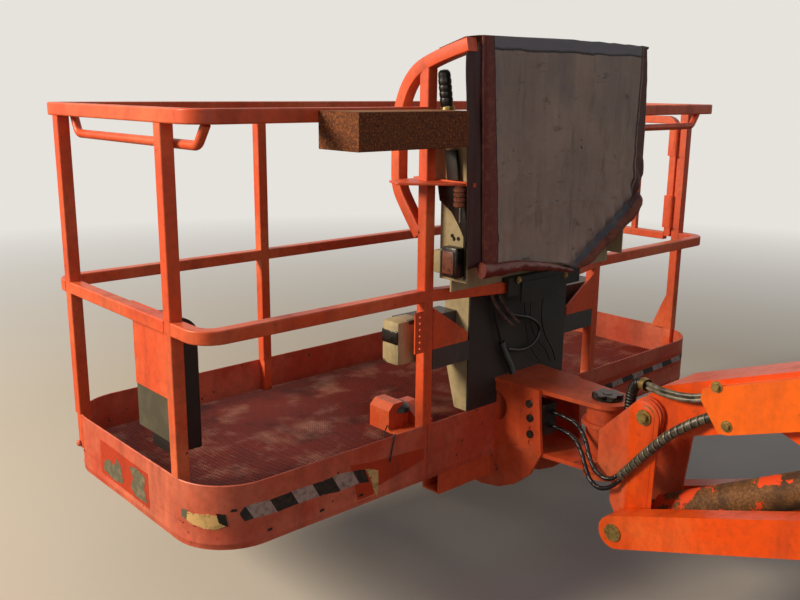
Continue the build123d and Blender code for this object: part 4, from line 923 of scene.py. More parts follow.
# Painted shade: the slots are black patches that stand for the dark inside their openings.
for x, up in ((-1.030, 0.034), (-0.851, 0.032), (-0.704, 0.033)):
    left, right = BEND - x - SLOT_LONG, BEND - x + SLOT_LONG
    low, high = up - SLOT_HIGH, up + SLOT_HIGH
    outline = [(left, low), (left, high), (right, high), (right, low)]
    decal("slot_" + str(round(-x * 1000)), outline, black_grease_and_shade, 0.0003, 0.01, 0.0)
print("tapes and torn patches laid on the near face:", len(PATCHES))

# %% [markdown]
# The left end is rubbed bare in one place: ragged islands of primer inside a rectangle of
# unfaded enamel. A round-headed rivet stands near the end's far corner.

# %% Bare place on the left end
END_START = TOE_CORNER * (math.pi / 2 - 1)
RUBBED = [
    # name, outline of (in from the near face, up), finish, raised
    ("rubbed_rectangle", [(0.330, 0.030), (0.655, 0.036), (0.650, 0.148), (0.334, 0.140)],
     ghost_enamel, 0.0005),
    ("primer_island_far", [(0.500, 0.050), (0.560, 0.040), (0.636, 0.052), (0.628, 0.084), (0.596, 0.098),
                           (0.560, 0.090), (0.540, 0.118), (0.512, 0.104)], primer, 0.0010),
    ("primer_island_near", [(0.344, 0.044), (0.420, 0.040), (0.452, 0.060), (0.430, 0.092), (0.450, 0.126),
                            (0.402, 0.134), (0.352, 0.122), (0.360, 0.080)], primer, 0.0010),
]
for name, outline, finish, raised in RUBBED:
    decal(name, [(END_START + inward, up) for inward, up in outline], finish, raised)
rivet = turned([(0.0, 0.0), (0.011, 0.0), (0.010, 0.003), (0.006, 0.006), (0.0, 0.007)],
               at(LEFT, 0.824, 0.080), (-1, 0, 0), 18)
piece("end_rivet", rivet, toeboard_enamel, "platform")
print("left end: bare place and rivet")

# %% [markdown]
# ## The floor
# Expanded metal is a sheet that is slit and pulled until the slits open into diamonds. A
# square grid turned by 45 degrees and stretched gives the same pattern, with the long way
# along the platform. Every cell is inset downwards and its middle deleted, so the strands
# that stay have sloping sides: one side catches the sun and the other keeps its shade.

# %% Expanded floor
DIAMOND_LONG = 0.0260
DIAMOND_WIDE = 0.0112
STRAND = 0.0022
SIDE_DROP = 0.0040
mesh_low, mesh_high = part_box("floor_mesh")
centre = (mesh_low + mesh_high) / 2
half_x = (mesh_high.x - mesh_low.x) / 2
half_y = (mesh_high.y - mesh_low.y) / 2
cells = 2 * math.ceil((half_x / DIAMOND_LONG + half_y / DIAMOND_WIDE)) + 4
shape = bmesh.new()
bmesh.ops.create_grid(shape, x_segments=cells, y_segments=cells, size=cells / 2)
bmesh.ops.rotate(shape, verts=shape.verts, cent=(0, 0, 0), matrix=Matrix.Rotation(math.radians(45), 3, "Z"))
bmesh.ops.scale(shape, vec=(DIAMOND_LONG / math.sqrt(2), DIAMOND_WIDE / math.sqrt(2), 1.0), verts=shape.verts)
bmesh.ops.translate(shape, vec=(centre.x, centre.y, mesh_high.z), verts=shape.verts)
FLOOR_CORNER = TOE_CORNER - SHEET - 0.001


def off_floor(place):
    """Whether a cell's middle lies outside the floor's rounded outline, inside the toeboards."""
    over_x = abs(place.x - centre.x) - (half_x - FLOOR_CORNER)
    over_y = abs(place.y - centre.y) - (half_y - FLOOR_CORNER)
    if over_x > 0 and over_y > 0:
        return math.hypot(over_x, over_y) > FLOOR_CORNER
    return over_x > FLOOR_CORNER or over_y > FLOOR_CORNER


bmesh.ops.delete(shape, geom=[face for face in shape.faces if off_floor(face.calc_center_median())],
                 context="FACES")
middles = shape.faces[:]
bmesh.ops.inset_individual(shape, faces=middles, thickness=STRAND, depth=-SIDE_DROP, use_even_offset=True)
bmesh.ops.delete(shape, geom=middles, context="FACES")
floor = piece("expanded_floor", shape, floor_steel, "platform")
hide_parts("floor_mesh")
print("diamonds", len(middles), "faces", len(floor.data.polygons))

# %% [markdown]
# ## The cover's hoops
# Two square tubes come up behind the console and bend forward under the cover. The solids
# bend in short straights; here each tube is one smooth bend, a rounded square carried along
# a NURBS line.

# %% Hoops
HOOP_BACK = 0.142
HOOP_LINE = [(-0.150, 1.341), (-0.020, 1.310), (0.085, 1.262), (HOOP_BACK, 1.150), (HOOP_BACK, 1.000),
             (HOOP_BACK, 0.930), (0.100, 0.868), (0.038, 0.790)]
HOOP_HALF = 0.019
HOOP_ROUND = 0.004
HOOP_SECTION = []
for turn in range(4):
    corner = math.radians(90 * turn + 45)
    middle = Vector((math.cos(corner), math.sin(corner))) * (HOOP_HALF - HOOP_ROUND) * math.sqrt(2)
    for lean in (-45, -15, 15, 45):
        edge = corner + math.radians(lean)
        HOOP_SECTION.append(middle + HOOP_ROUND * Vector((math.cos(edge), math.sin(edge))))
SIDEWAYS = Vector((1, 0, 0))
KNOCK_ABOVE = 1.0
KNOCK_BEND = 0.12


def pushed(v, w):
    """How far a knock has moved a place on a hoop: all of it at the front, none at its back."""
    return min(1.0, max(0.0, HOOP_BACK - v) / KNOCK_BEND) if w > KNOCK_ABOVE else 0.0


for node, x, knock in (("console_hoop_left", -POST_X, 0.0), ("console_hoop_right", POST_X, 0.042)):
    line = route_line(node, [at(x - knock * pushed(v, w), v, w) for v, w in HOOP_LINE], 10)
    path = []
    for index, spot in enumerate(line):
        ahead = (line[min(index + 1, len(line) - 1)] - line[max(index - 1, 0)]).normalized()
        path.append((spot, SIDEWAYS, ahead.cross(SIDEWAYS)))
    hoop = piece(node + "_bent", carried(path, HOOP_SECTION), platform_enamel, "platform")
    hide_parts(node)
print("hoops bent along", len(path), "places")

# %% [markdown]
# ## The cover
# An old coated cloth lies over the hoops' tops and hangs in front of the console. It is one
# sheet: a back edge on the slope, a turn over the front, and a long fall with its right
# corner drawn up. A grid is laid on that path, and noise moves its points into long soft
# folds that grow towards the free hem, with a few sharp creases where it has been crushed.

# %% Measured edges of the cover
FRONT = -0.1585
FOLD_TOP = 1.3655
HEM = [(-0.402, 0.712), (-0.250, 0.704), (-0.155, 0.695), (-0.029, 0.683), (0.079, 0.649), (0.095, 0.647),
       (0.149, 0.664), (0.195, 0.689), (0.284, 0.735), (0.334, 0.757), (0.392, 0.783), (0.449, 0.815)]
RIGHT_EDGE = [(0.60, 0.449), (0.821, 0.449), (0.919, 0.448), (1.023, 0.445), (1.191, 0.434), (1.322, 0.422),
              (1.40, 0.416)]
LEFT_EDGE = [(0.60, -0.368), (0.764, -0.376), (1.053, -0.390), (1.300, -0.402), (1.40, -0.405)]


def between(stations, at_place):
    """Straight stretches between measured (place, value) stations."""
    place = min(max(at_place, stations[0][0]), stations[-1][0])
    for (p0, v0), (p1, v1) in zip(stations, stations[1:]):
        if place <= p1:
            return v0 + (v1 - v0) * (place - p0) / (p1 - p0)
    return stations[-1][1]


print("cover", round(between(RIGHT_EDGE, 1.0) - between(LEFT_EDGE, 1.0), 3), "m wide at a height of 1 m")

# %% [markdown]
# The lower right corner curls along a line that rises to the right from the hem's lowest
# point: a hollow above the line, a roll below it, and small gathers between. Folds are noise
# in wide and narrow waves; a crease is noise too, but with its crests sharpened.

# %% Folds, creases and the curl
CURL_RISE = 0.60
CURL_FOOT = 0.600
CURL_LENGTH = 1.17
GATHERS = 95.0


def ridge(place):
    """Sharp-crested noise, for the creases of crushed cloth."""
    return 1.0 - min(1.0, abs(noise.noise(place)) * 4.0)


def folds_at(x, height, hang):
    """How far folds and creases stand out; hang is 0 at the turn over the front and 1 at the hem."""
    out = noise.noise(Vector((x * 6.0, 0.4, height * 1.3))) * (0.009 + 0.014 * hang)
    out += noise.noise(Vector((x * 19.0, 2.7, height * 3.4))) * 0.0052 * (0.5 + hang)
    out += noise.noise(Vector((x * 42.0, 7.7, height * 30.0))) * 0.0014
    crease = ridge(Vector((x * 2.6 + height * 2.0, 5.0, height * 7.0 - x * 1.2)))
    crush = ridge(Vector((x * 8.0 - 2.0, 8.0, height * 9.0 + x * 4.0)))
    return out + crease ** 6 * 0.005 * hang + crush ** 8 * 0.003 * hang


def curl_at(x, height):
    """How far the curled corner goes in, which is negative where it rolls out."""
    over = (height - CURL_RISE * x - CURL_FOOT) / CURL_LENGTH
    hollow = 0.016 * math.exp(-((over - 0.016) / 0.014) ** 2)
    roll = 0.013 * math.exp(-((over + 0.020) / 0.016) ** 2)
    gather = 0.007 * math.sin((x + height * 0.55) * GATHERS) * max(0.0, 1 - abs(over - 0.05) / 0.07)
    return (hollow - roll + gather) * min(1.0, max(0.0, x - 0.06) / 0.08)


print("curl line rises", round(math.degrees(math.atan(CURL_RISE)), 1), "degrees")

# %% Cover cloth
SLOPE = math.radians(15.5)
LAP = 0.125
TOP_WIDER_LEFT = 0.045
TOP_WIDER_RIGHT = 0.029
TOP_EASE = 0.02
FOLDS_FULL = 0.10
STAND_OFF = 0.004
ARCH = 0.005
HEM_LEFT = HEM[0][0]
HEM_WIDE = HEM[-1][0] - HEM_LEFT


def cloth_point(across, down):
    """Where the point of the cut cloth at across, 0 to 1, and down, 0 to 1, hangs."""
    fall = FOLD_TOP - between(HEM, HEM_LEFT + HEM_WIDE * across)
    run = down * (LAP + fall)
    height = FOLD_TOP - max(0.0, run - LAP)
    left, right = between(LEFT_EDGE, height), between(RIGHT_EDGE, height)
    arch = ARCH * math.sin(math.pi * across)
    if run < LAP:
        ease = min(1.0, (LAP - run) / TOP_EASE)
        left -= TOP_WIDER_LEFT * ease
        right += TOP_WIDER_RIGHT * ease
        back = FRONT + (LAP - run) * math.cos(SLOPE)
        return Vector((left + (right - left) * across, back, FOLD_TOP + arch - (LAP - run) * math.sin(SLOPE)))
    x = left + (right - left) * across
    hang = (run - LAP) / fall
    loose = min(1.0, (run - LAP) / FOLDS_FULL)
    edge_turn = max(0.0, 0.02 - across) / 0.02 * 0.010 + max(0.0, across - 0.985) / 0.015 * 0.008
    inward = FRONT - loose * (folds_at(x, height, hang) + STAND_OFF) + edge_turn + curl_at(x, height)
    return Vector((x, inward, height + arch * (1 - hang)))


shape = bmesh.new()
bmesh.ops.create_grid(shape, x_segments=140, y_segments=112, size=1.0)
for vertex in shape.verts:
    vertex.co = at(*cloth_point((vertex.co.x + 1) / 2, (1 - vertex.co.y) / 2))
cover_area = sum(face.calc_area() for face in shape.faces)
print("cover cloth", round(cover_area, 3), "square metres,", len(shape.faces), "faces")

# %% Cover finish
# Coated tarpaulin: grey-brown, streaked down by rain, worn blue-grey along its fold, with red-brown bindings
# at both sides. Large blue-grey patches are partly uneven tone and partly painted shade of its crumples, a
# painted shadow line lies under the fold, and at the curled corner a painted blue shade and a painted lit
# band are laid on; the right binding is painted darker for its shade. Its weave is drawn 3.5 mm apart,
# coarser than the real threads, so that it still shows; with the wrinkles it keeps the cloth from looking
# plastic.
tarpaulin, tree, shader, where = new_material("weathered_coated_tarpaulin")
parts = add(tree, "ShaderNodeSeparateXYZ", {0: where})
cloudy = patches(tree, where, 0.13, 0.40, 0.64, 0.8, 5)
streaks = patches(tree, where, 0.013, 0.44, 0.76, 0.26, 6, (1, 1, 0.16))
bleach = patches(tree, where, 0.010, 0.50, 0.78, 0.26, 5, (1, 1, 0.13))
# Large blue-grey patches: partly uneven tone, partly painted shade of the crumples.
crumple_shade_and_tone = patches(tree, where, 0.11, 0.54, 0.68, 0.55, 5, (1, 1, 0.5))
ochre = patches(tree, where, 0.05, 0.62, 0.72, 0.45, 5)
# Small near-black blotches on the cloth.
dark_blotches = patches(tree, where, 0.022, 0.690, 0.705, 0.85, 7)
smear = patches(tree, where, 0.060, 0.60, 0.66, 0.6, 6, (1, 1, 2.4))
rain_edge = patches(tree, where, 0.020, 0.56, 0.70, 0.5, 6, (1, 1, 0.25))
wobble = add(tree, "ShaderNodeTexNoise", {"Vector": where, "Scale": 14.0, "Detail": 4.0})
wander = add(tree, "ShaderNodeMapRange", {"Value": wobble.outputs["Fac"], "To Min": -0.007, "To Max": 0.007})
height = add(tree, "ShaderNodeMath", {0: parts.outputs["Z"], 1: wander.outputs["Result"]},
             operation="ADD")
fold_band = add(tree, "ShaderNodeMapRange", {"Value": height.outputs[0], "From Min": DECK + 1.332,
                                             "From Max": DECK + 1.338, "To Max": 0.9})
band_shadow = add(tree, "ShaderNodeMath", {0: height.outputs[0], 1: DECK + 1.333, 2: 0.004},
                  operation="COMPARE")
LEFT_LEAN = 0.048
slant = add(tree, "ShaderNodeMath", {0: parts.outputs["Z"], 1: LEFT_LEAN, 2: parts.outputs["X"]},
            operation="MULTIPLY_ADD")
BINDING = -0.341 + LEFT_LEAN * (DECK + 1.053)
left_strip = add(tree, "ShaderNodeMath", {0: slant.outputs[0], 1: BINDING}, operation="LESS_THAN")
seam_line = add(tree, "ShaderNodeMath", {0: slant.outputs[0], 1: BINDING, 2: 0.0022}, operation="COMPARE")
# Painted shade: the right binding is coloured darker than the left one.
side = add(tree, "ShaderNodeMath", {0: parts.outputs["X"], 1: wander.outputs["Result"]}, operation="ADD")
right_strip = add(tree, "ShaderNodeMapRange", {"Value": side.outputs[0], "From Min": 0.384, "From Max": 0.390,
                                               "To Max": 0.9})
right_seam = add(tree, "ShaderNodeMath", {0: parts.outputs["X"], 1: 0.380, 2: 0.004}, operation="COMPARE")
scuffed = patches(tree, where, 0.010, 0.50, 0.66, 0.55, 5)
maroon = coats(tree, "#6E2E26", (scuffed, "#9A5C48"))
over_curl = add(tree, "ShaderNodeMath", {0: parts.outputs["X"], 1: -CURL_RISE, 2: parts.outputs["Z"]},
                operation="MULTIPLY_ADD")
# Painted shade: a blue-grey band just above the curl line, where the cloth curls in.
blue = add(tree, "ShaderNodeMapRange", {"Value": over_curl.outputs[0], "From Min": DECK + CURL_FOOT + 0.065,
                                        "From Max": DECK + CURL_FOOT + 0.005, "To Max": 0.85})
# Painted light: below the curl line the binding is coloured as a lit salmon-brown band.
curled = add(tree, "ShaderNodeMath", {0: over_curl.outputs[0], 1: DECK + CURL_FOOT}, operation="LESS_THAN")
curl_edge = patches(tree, where, 0.014, 0.46, 0.62, 0.8, 5)
tree.links.new(coats(tree, "#A8968C", (cloudy, "#C2AE9E"), (streaks, "#7A6C62"), (bleach, "#CEBEB0"),
                     (crumple_shade_and_tone, "#7A7278"), (ochre, "#B88C5C"), (smear, "#544A50"), (rain_edge, "#726258"),
                     (blue.outputs["Result"], "#33475A"),
                     (dark_blotches, "#211917"), (band_shadow.outputs[0], "#2A2426"),
                     (fold_band.outputs["Result"], "#84848E"), (left_strip.outputs[0], maroon),
                     (right_strip.outputs["Result"], "#4A1E1C"), (seam_line.outputs[0], "#2A1412"),
                     (right_seam.outputs[0], "#4A342C"),
                     (curled.outputs[0], coats(tree, "#8A4C38", (curl_edge, "#4C1E1C")))),
               shader.inputs["Base Color"])
shader.inputs["Roughness"].default_value = 0.70
weft = add(tree, "ShaderNodeTexWave", {"Vector": where, "Scale": 90.0}, bands_direction="Z")
warp = add(tree, "ShaderNodeTexWave", {"Vector": where, "Scale": 90.0}, bands_direction="X")
weave = add(tree, "ShaderNodeMath", {0: weft.outputs["Fac"], 1: warp.outputs["Fac"]}, operation="MULTIPLY")
wrinkles = patches(tree, where, 0.030, 0.30, 0.70, 3.0, 7, (1, 1, 0.6))
rough_cloth = add(tree, "ShaderNodeMath", {0: weave.outputs[0], 1: wrinkles}, operation="ADD")
relief = add(tree, "ShaderNodeBump", {"Height": rough_cloth.outputs[0], "Distance": 0.0022, "Strength": 0.8})
tree.links.new(relief.outputs["Normal"], shader.inputs["Normal"])

print("cover finish ready")

# %% Cover, its side flap and its rolled hem
CLOTH_THICK = 0.0022
TURN_BACK = 0.058
FLAP_FALL = 0.62
cover = piece("cover_cloth", shape, tarpaulin, "platform")
thick = cover.modifiers.new("cloth thickness", "SOLIDIFY")
thick.thickness = CLOTH_THICK
thick.offset = 0.0
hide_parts("console_cover")
# Red-brown coated edging, thick and shiny where it is rolled, paler where it has rubbed.
hem_cloth, tree, shader, where = new_material("red_brown_coated_hem")
fade = patches(tree, where, 0.018, 0.46, 0.68, 0.8, 5)
tree.links.new(coats(tree, "#5E1E1A", (fade, "#8E4C3C")), shader.inputs["Base Color"])
shader.inputs["Roughness"].default_value = 0.42
# The inside of the side flap: the same cloth, coloured nearly black as painted shade for the shade it hangs
# in.
flap_cloth, tree, shader, where = new_material("maroon_flap_in_painted_shade")
wear = patches(tree, where, 0.03, 0.50, 0.70, 0.6, 5)
tree.links.new(coats(tree, "#2A0606", (wear, "#451410")), shader.inputs["Base Color"])
shader.inputs["Roughness"].default_value = 0.6
flap = bmesh.new()
bmesh.ops.create_grid(flap, x_segments=14, y_segments=60, size=1.0)
for vertex in flap.verts:
    back = (vertex.co.x + 1) / 2
    height = 1.340 - (1 - vertex.co.y) / 2 * FLAP_FALL
    wave = 0.004 * noise.noise(Vector((back * 3.0, 1.0, height * 9.0)))
    vertex.co = at(between(LEFT_EDGE, height) + 0.012 - TURN_BACK * back, FRONT + 0.004 + 0.012 * back + wave,
                   height - 0.012 * back)
side_flap = piece("cover_side_flap", flap, flap_cloth, "platform")
thick = side_flap.modifiers.new("flap thickness", "SOLIDIFY")
thick.thickness = CLOTH_THICK
binding_line = route_line("binding", [at(between(LEFT_EDGE, w) + 0.001, FRONT - 0.003, w)
                                      for w in spaced(1.366, 0.716, 9)], 12)
shape, bound = sweep(binding_line, plain(0.0035), 8)
binding = piece("cover_binding", shape, hem_cloth, "platform")
hem_line = route_line("hem", [at(x, v, w) for x, v, w in (
    (-0.392, -0.172, 0.706), (-0.330, -0.178, 0.702), (-0.250, -0.180, 0.704), (-0.170, -0.178, 0.696),
    (-0.100, -0.176, 0.684), (-0.030, -0.172, 0.668), (0.050, -0.166, 0.650))], 12)


def rolled(along, turn):
    """Radius of the rolled hem: 23 mm at its left end, thinner to the right, and lumpy."""
    return 0.023 - 0.034 * along + 0.003 * noise.noise(Vector((along * 26, turn * 2, 0)))


shape, hem_long = sweep(hem_line, rolled, 18)
hem = piece("cover_rolled_hem", shape, hem_cloth, "platform")

# %% [markdown]
# ## The console's left side
# Left of the cover the console shows a moulded grip in a dull collar, a dark cable cover down its side, and a
# black bracket that carries a stacked connector and a small black box. Turned pieces are a profile spun round
# an axis, as a lathe would make them; plates are outlines cut from sheet and given their thickness.

# %% Joystick grip
foot = at(-0.392, -0.020, 1.150)
lean = Vector((-0.13, 0.02, 1.0)).normalized()
collar = [(0.0, 0.0), (0.027, 0.0), (0.027, 0.007), (0.021, 0.012), (0.020, 0.022), (0.0, 0.022)]
piece("joystick_collar", turned(collar, foot, UP, 28), zinc, "platform")
grip = [(0.0, 0.018), (0.0175, 0.020), (0.0185, 0.028)]
for groove in range(4):
    start = 0.034 + groove * 0.018
    grip += [(0.0190, start), (0.0195, start + 0.009), (0.0178, start + 0.013)]
grip += [(0.0185, 0.108), (0.0175, 0.118), (0.012, 0.125), (0.0, 0.127)]
lever = piece("joystick_grip", turned(grip, foot, lean, 28), black_plastic, "platform")
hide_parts("joystick")
print("grip", round(math.degrees(lean.angle(UP)), 1), "degrees off upright")

# %% Plates and boxes: helpers
PLATE_BEVEL = 0.0008
CONSOLE_SIDE = -0.4005
SHELF_LEVEL = 0.950


def plate(name, outline, thick, place, finish, body="platform"):
    """Sheet cut to an outline: place turns each (u, v, depth) of it into a point."""
    shape = bmesh.new()
    face = shape.faces.new([shape.verts.new(place(u, v, 0.0)) for u, v in outline])
    made = bmesh.ops.extrude_face_region(shape, geom=[face])
    raised = [item for item in made["geom"] if isinstance(item, bmesh.types.BMVert)]
    step = place(0.0, 0.0, thick) - place(0.0, 0.0, 0.0)
    bmesh.ops.translate(shape, vec=step, verts=raised)
    bmesh.ops.bevel(shape, geom=shape.edges[:], offset=PLATE_BEVEL, offset_type="OFFSET", affect="EDGES",
                    segments=2, profile=0.5, material=-1, clamp_overlap=True)
    return piece(name, shape, finish, body)


def boxes(rows):
    """Small moulded boxes on the platform, each between two corners."""
    for name, low, high, bevel, finish, slot in rows:
        piece(name, slab(at(*low), at(*high), bevel), finish, "platform")


def on_left_side(inward, height, depth):
    """A place on the console's left side: depth stands out to the left."""
    return at(CONSOLE_SIDE - depth, inward, height)


def on_shelf(x, inward, depth):
    """A place on the shelf: depth goes up."""
    return at(x, inward, SHELF_LEVEL + depth)


print("console side at x", CONSOLE_SIDE, "shelf", SHELF_LEVEL, "over the sheets' bottom edge")

# %% Plates, connector and boxes on the console's side
CONNECTOR = (-0.424, -0.112)
plate("cable_cover", [(-0.029, 1.046), (-0.074, 1.048), (-0.082, 1.010), (-0.087, 0.962), (-0.042, 0.961),
                      (-0.036, 1.006)], 0.010, on_left_side, black_plastic)
plate("shelf_flange", [(-0.405, -0.128), (-0.560, 0.004), (-0.563, 0.012), (-0.526, 0.084), (-0.405, 0.090)],
      0.007, on_shelf, platform_enamel)
plate("black_bracket", [(0.004, 0.946), (-0.108, 0.946), (-0.110, 0.889), (-0.119, 0.846), (-0.119, 0.672),
                        (-0.112, 0.672), (-0.108, 0.798), (-0.092, 0.824), (-0.057, 0.867), (-0.006, 0.897)],
      0.004, on_left_side, black_grease_and_shade)
# Red-brown anodised shell of the connector, greasy in its rings.
shell, tree, shader, where = new_material("red_brown_connector_shell")
grease = patches(tree, where, 0.006, 0.46, 0.66, 0.8, 4)
tree.links.new(coats(tree, "#7A4432", (grease, "#2C1814")), shader.inputs["Base Color"])
shader.inputs["Roughness"].default_value = 0.36
rings = [(0.0, 0.0), (0.016, 0.0)]
for ring in range(4):
    rings += [(0.020, 0.004 + ring * 0.014), (0.0205, 0.012 + ring * 0.014), (0.0165, 0.015 + ring * 0.014)]
rings += [(0.018, 0.062), (0.0, 0.062)]
connector = piece("stacked_connector", turned(rings, at(*CONNECTOR, 0.888), UP, 24), shell, "platform")
piece("connector_rod", disc(at(*CONNECTOR, 0.843), UP, 0.004, 0.0, 0.046, 12), chrome, "platform")
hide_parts("console_fittings")
boxes([
    # name, low corner, high corner, bevel, finish, slot
    ("junction_box", (-0.436, -0.112, 0.676), (CONSOLE_SIDE, -0.050, 0.768), 0.006, black_grease_and_shade,
     "black_plastic"),
    ("junction_lid", (-0.440, -0.104, 0.688), (-0.434, -0.058, 0.756), 0.002, shell, "black_plastic"),
    ("terminal_box", (-0.438, -0.048, 0.684), (CONSOLE_SIDE, -0.018, 0.754), 0.005, beige_enamel,
     "beige_paint"),
])
# Painted shade: two thin black discs stand for the dark inside the panel's holes.
for index, (inward, height) in enumerate(((-0.060, 0.796), (-0.085, 0.790))):
    hole = disc(on_left_side(inward, height, 0.0), (-1, 0, 0), 0.006, 0.0, 0.0012, 14)
    piece("panel_hole_" + str(index), hole, black_grease_and_shade, "platform")
print("console side: plates, connector and boxes made")

# %% [markdown]
# ## Beam ends, footswitch and rotator
# The cross beam ends in a pale moulded sounder with rounded corners. The footswitch has a
# dark pedal dome between its guards, with a thin cable over the board. On the rotator's top
# sits a six-lobed black casting; a tan clamp holds the boot, and black ties hold the hoses
# where they leave the guard.

# %% Beam ends and footswitch
boxes([
    ("sounder", (-0.507, 0.059, 0.376), (-0.398, 0.141, 0.522), 0.018, beige_enamel, "beige_paint"),
    # Painted shade: the sounder's slot is a black block that stands for the dark inside its opening.
    ("sounder_slot", (-0.5085, 0.064, 0.446), (-0.470, 0.136, 0.492), 0.006, black_grease_and_shade, "black_plastic"),
    ("beam_shoe", (-0.400, 0.056, 0.352), (-0.190, 0.100, 0.428), 0.010, grey_enamel, "grey_paint"),
])
PEDAL = at(-0.300, 0.292, 0.128)
dome = turned([(0.0, 0.030), (0.016, 0.029), (0.030, 0.024), (0.040, 0.014), (0.044, 0.0), (0.0, 0.0)],
              PEDAL, UP, 32)
bmesh.ops.scale(dome, vec=(1.0, 1.25, 1.0), verts=dome.verts, space=Matrix.Translation(-PEDAL))
piece("pedal_dome", dome, dark_rubber, "platform")
CABLE = [at(x, v, w) for x, v, w in (
    (-0.368, 0.262, 0.090), (-0.410, 0.240, 0.074), (-0.470, 0.150, 0.072), (-0.540, 0.040, 0.074),
    (-0.556, 0.012, 0.120), (-0.562, 0.006, 0.185), (-0.566, 0.002, 0.1925), (-0.572, -0.004, 0.188),
    (-0.584, -0.004, 0.150), (-0.592, -0.004, 0.108))]
laid_cord("footswitch_cable", CABLE, plain(0.0022), dark_rubber, ON_CONSOLE, sides=10)

# %% Wires before the column
# Thin control wires and two brown strands hang before the column, from tray to manifold.
WIRES = {
    "wire_left": [(-0.020, -0.030, 0.600), (-0.015, -0.020, 0.567), (0.007, -0.018, 0.477),
                  (0.024, -0.018, 0.386), (0.059, -0.018, 0.336), (0.095, -0.020, 0.292)],
    "wire_middle": [(0.045, -0.030, 0.600), (0.043, -0.022, 0.566), (0.027, -0.018, 0.492),
                    (0.050, -0.018, 0.399), (0.137, -0.018, 0.328), (0.150, -0.022, 0.285)],
    "wire_right": [(0.104, -0.030, 0.600), (0.102, -0.022, 0.568), (0.088, -0.018, 0.464),
                   (0.116, -0.018, 0.387), (0.170, -0.020, 0.322), (0.176, -0.024, 0.285)],
    "strand_upper": [(-0.205, -0.046, 0.606), (-0.201, -0.042, 0.585), (-0.169, -0.040, 0.542),
                     (-0.123, -0.038, 0.490), (-0.075, -0.036, 0.455)],
    "strand_lower": [(-0.166, -0.046, 0.606), (-0.162, -0.042, 0.588), (-0.135, -0.040, 0.543),
                     (-0.098, -0.038, 0.500), (-0.051, -0.036, 0.465)],
}
WIRE_THICK = {"wire_left": 0.0050, "wire_middle": 0.0050, "wire_right": 0.0060}
STRAND_THICK = 0.0120
# Brown cloth-covered strands, dusty and matt.
braid, tree, shader, where = new_material("brown_braided_sleeve")
dust = patches(tree, where, 0.008, 0.44, 0.66, 0.8, 4)
tree.links.new(coats(tree, "#3A2620", (dust, "#6A4E44")), shader.inputs["Base Color"])
shader.inputs["Roughness"].default_value = 0.8
for name, route in WIRES.items():
    diameter = WIRE_THICK.get(name, STRAND_THICK)
    law = plain(diameter / 2) if name in WIRE_THICK else ringed(diameter / 2, 0.009, 0.0012)
    finish = dark_rubber if name in WIRE_THICK else braid
    line_points = [at(*spot) for spot in route]
    laid_cord(name, line_points, law, finish, ON_CONSOLE, sides=12)

# %% Rotator cap
LOBES = 6
LOBE_RADIUS = 0.041
LOBE_DEEP = 0.0075
CAP_FLANGE = 0.006
cap_low, cap_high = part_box("rotator_cap")
cap_middle = Vector(((cap_low.x + cap_high.x) / 2, (cap_low.y + cap_high.y) / 2, cap_low.z))
flower = bmesh.new()
ring = []
for step in range(72):
    angle = 2 * math.pi * step / 72
    radius = LOBE_RADIUS + LOBE_DEEP * math.cos(LOBES * angle)
    ring.append(flower.verts.new(cap_middle + Vector((radius * math.cos(angle), radius * math.sin(angle),
                                                      CAP_FLANGE))))
grown = bmesh.ops.extrude_face_region(flower, geom=[flower.faces.new(ring)])
raised = [item for item in grown["geom"] if isinstance(item, bmesh.types.BMVert)]
bmesh.ops.translate(flower, vec=(0, 0, 0.010), verts=raised)
flange = disc(cap_middle, UP, 0.049, 0.0, CAP_FLANGE, 48)
hub = turned([(0.0, 0.015), (0.016, 0.015), (0.014, 0.0185), (0.0, 0.0185)], cap_middle, UP, 24)
cap = piece("lobed_cap", joined(flower, flange, hub), black_grease_and_shade, "platform")
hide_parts("rotator_cap")
print("cap with", LOBES, "lobes,", round(2 * (LOBE_RADIUS + LOBE_DEEP) * 1000), "mm across")

# %% Strap, clamp and ties
HEAD_SIDE = -0.1105
STRAP_TOP = (-0.574, 0.300)
STRAP_HALF = 0.048
STRAP_FOOT = -0.060
BAND_THICK = 0.0015


def ring_on(name, place, aim, radius, wide, finish, body):
    """A band round a hose at a place: a short turned ring."""
    inner = radius - BAND_THICK
    profile = [(inner, -wide / 2), (radius, -wide / 2), (radius, wide / 2), (inner, wide / 2)]
    return piece(name, turned(profile, place, aim, 24), finish, body)


def on_head(inward, height, depth):
    """A place on the left head plate: depth stands out to the left."""
    return at(HEAD_SIDE - depth, inward, height)


for name, half, stand_out in (("head_strap", STRAP_HALF, 0.0030),
                              ("head_strap_inner", STRAP_HALF - 0.014, 0.0042)):
    outline = [(STRAP_TOP[0] + half * math.cos(turn), STRAP_TOP[1] + half * math.sin(turn))
               for turn in spaced(0.0, math.pi, 17)]
    outline += [(STRAP_TOP[0] - half + 0.004, STRAP_FOOT), (STRAP_TOP[0] + half - 0.004, STRAP_FOOT)]
    plate(name, outline, stand_out, on_head, jib_enamel, "head")
aim = BOOT[1] - BOOT[0]
ring_on("boot_clamp", BOOT[0] + 0.003 * aim.normalized(), aim, 0.0195, 0.018, zinc, "head")
pair_start, pair_next = at(*PAIR[0]), at(*PAIR[1])
for name, start, ahead, share, radius, wide in (
        ("tie_bundle", BUNDLE[0], BUNDLE[1], 0.25, 0.0172, 0.010),
        ("tie_pair", pair_start, pair_next, 0.45, 0.0148, 0.009)):
    ring_on(name, start.lerp(ahead, share), ahead - start, radius, wide, dark_rubber,
            "upper_arm")
print("strap, clamp and two ties")

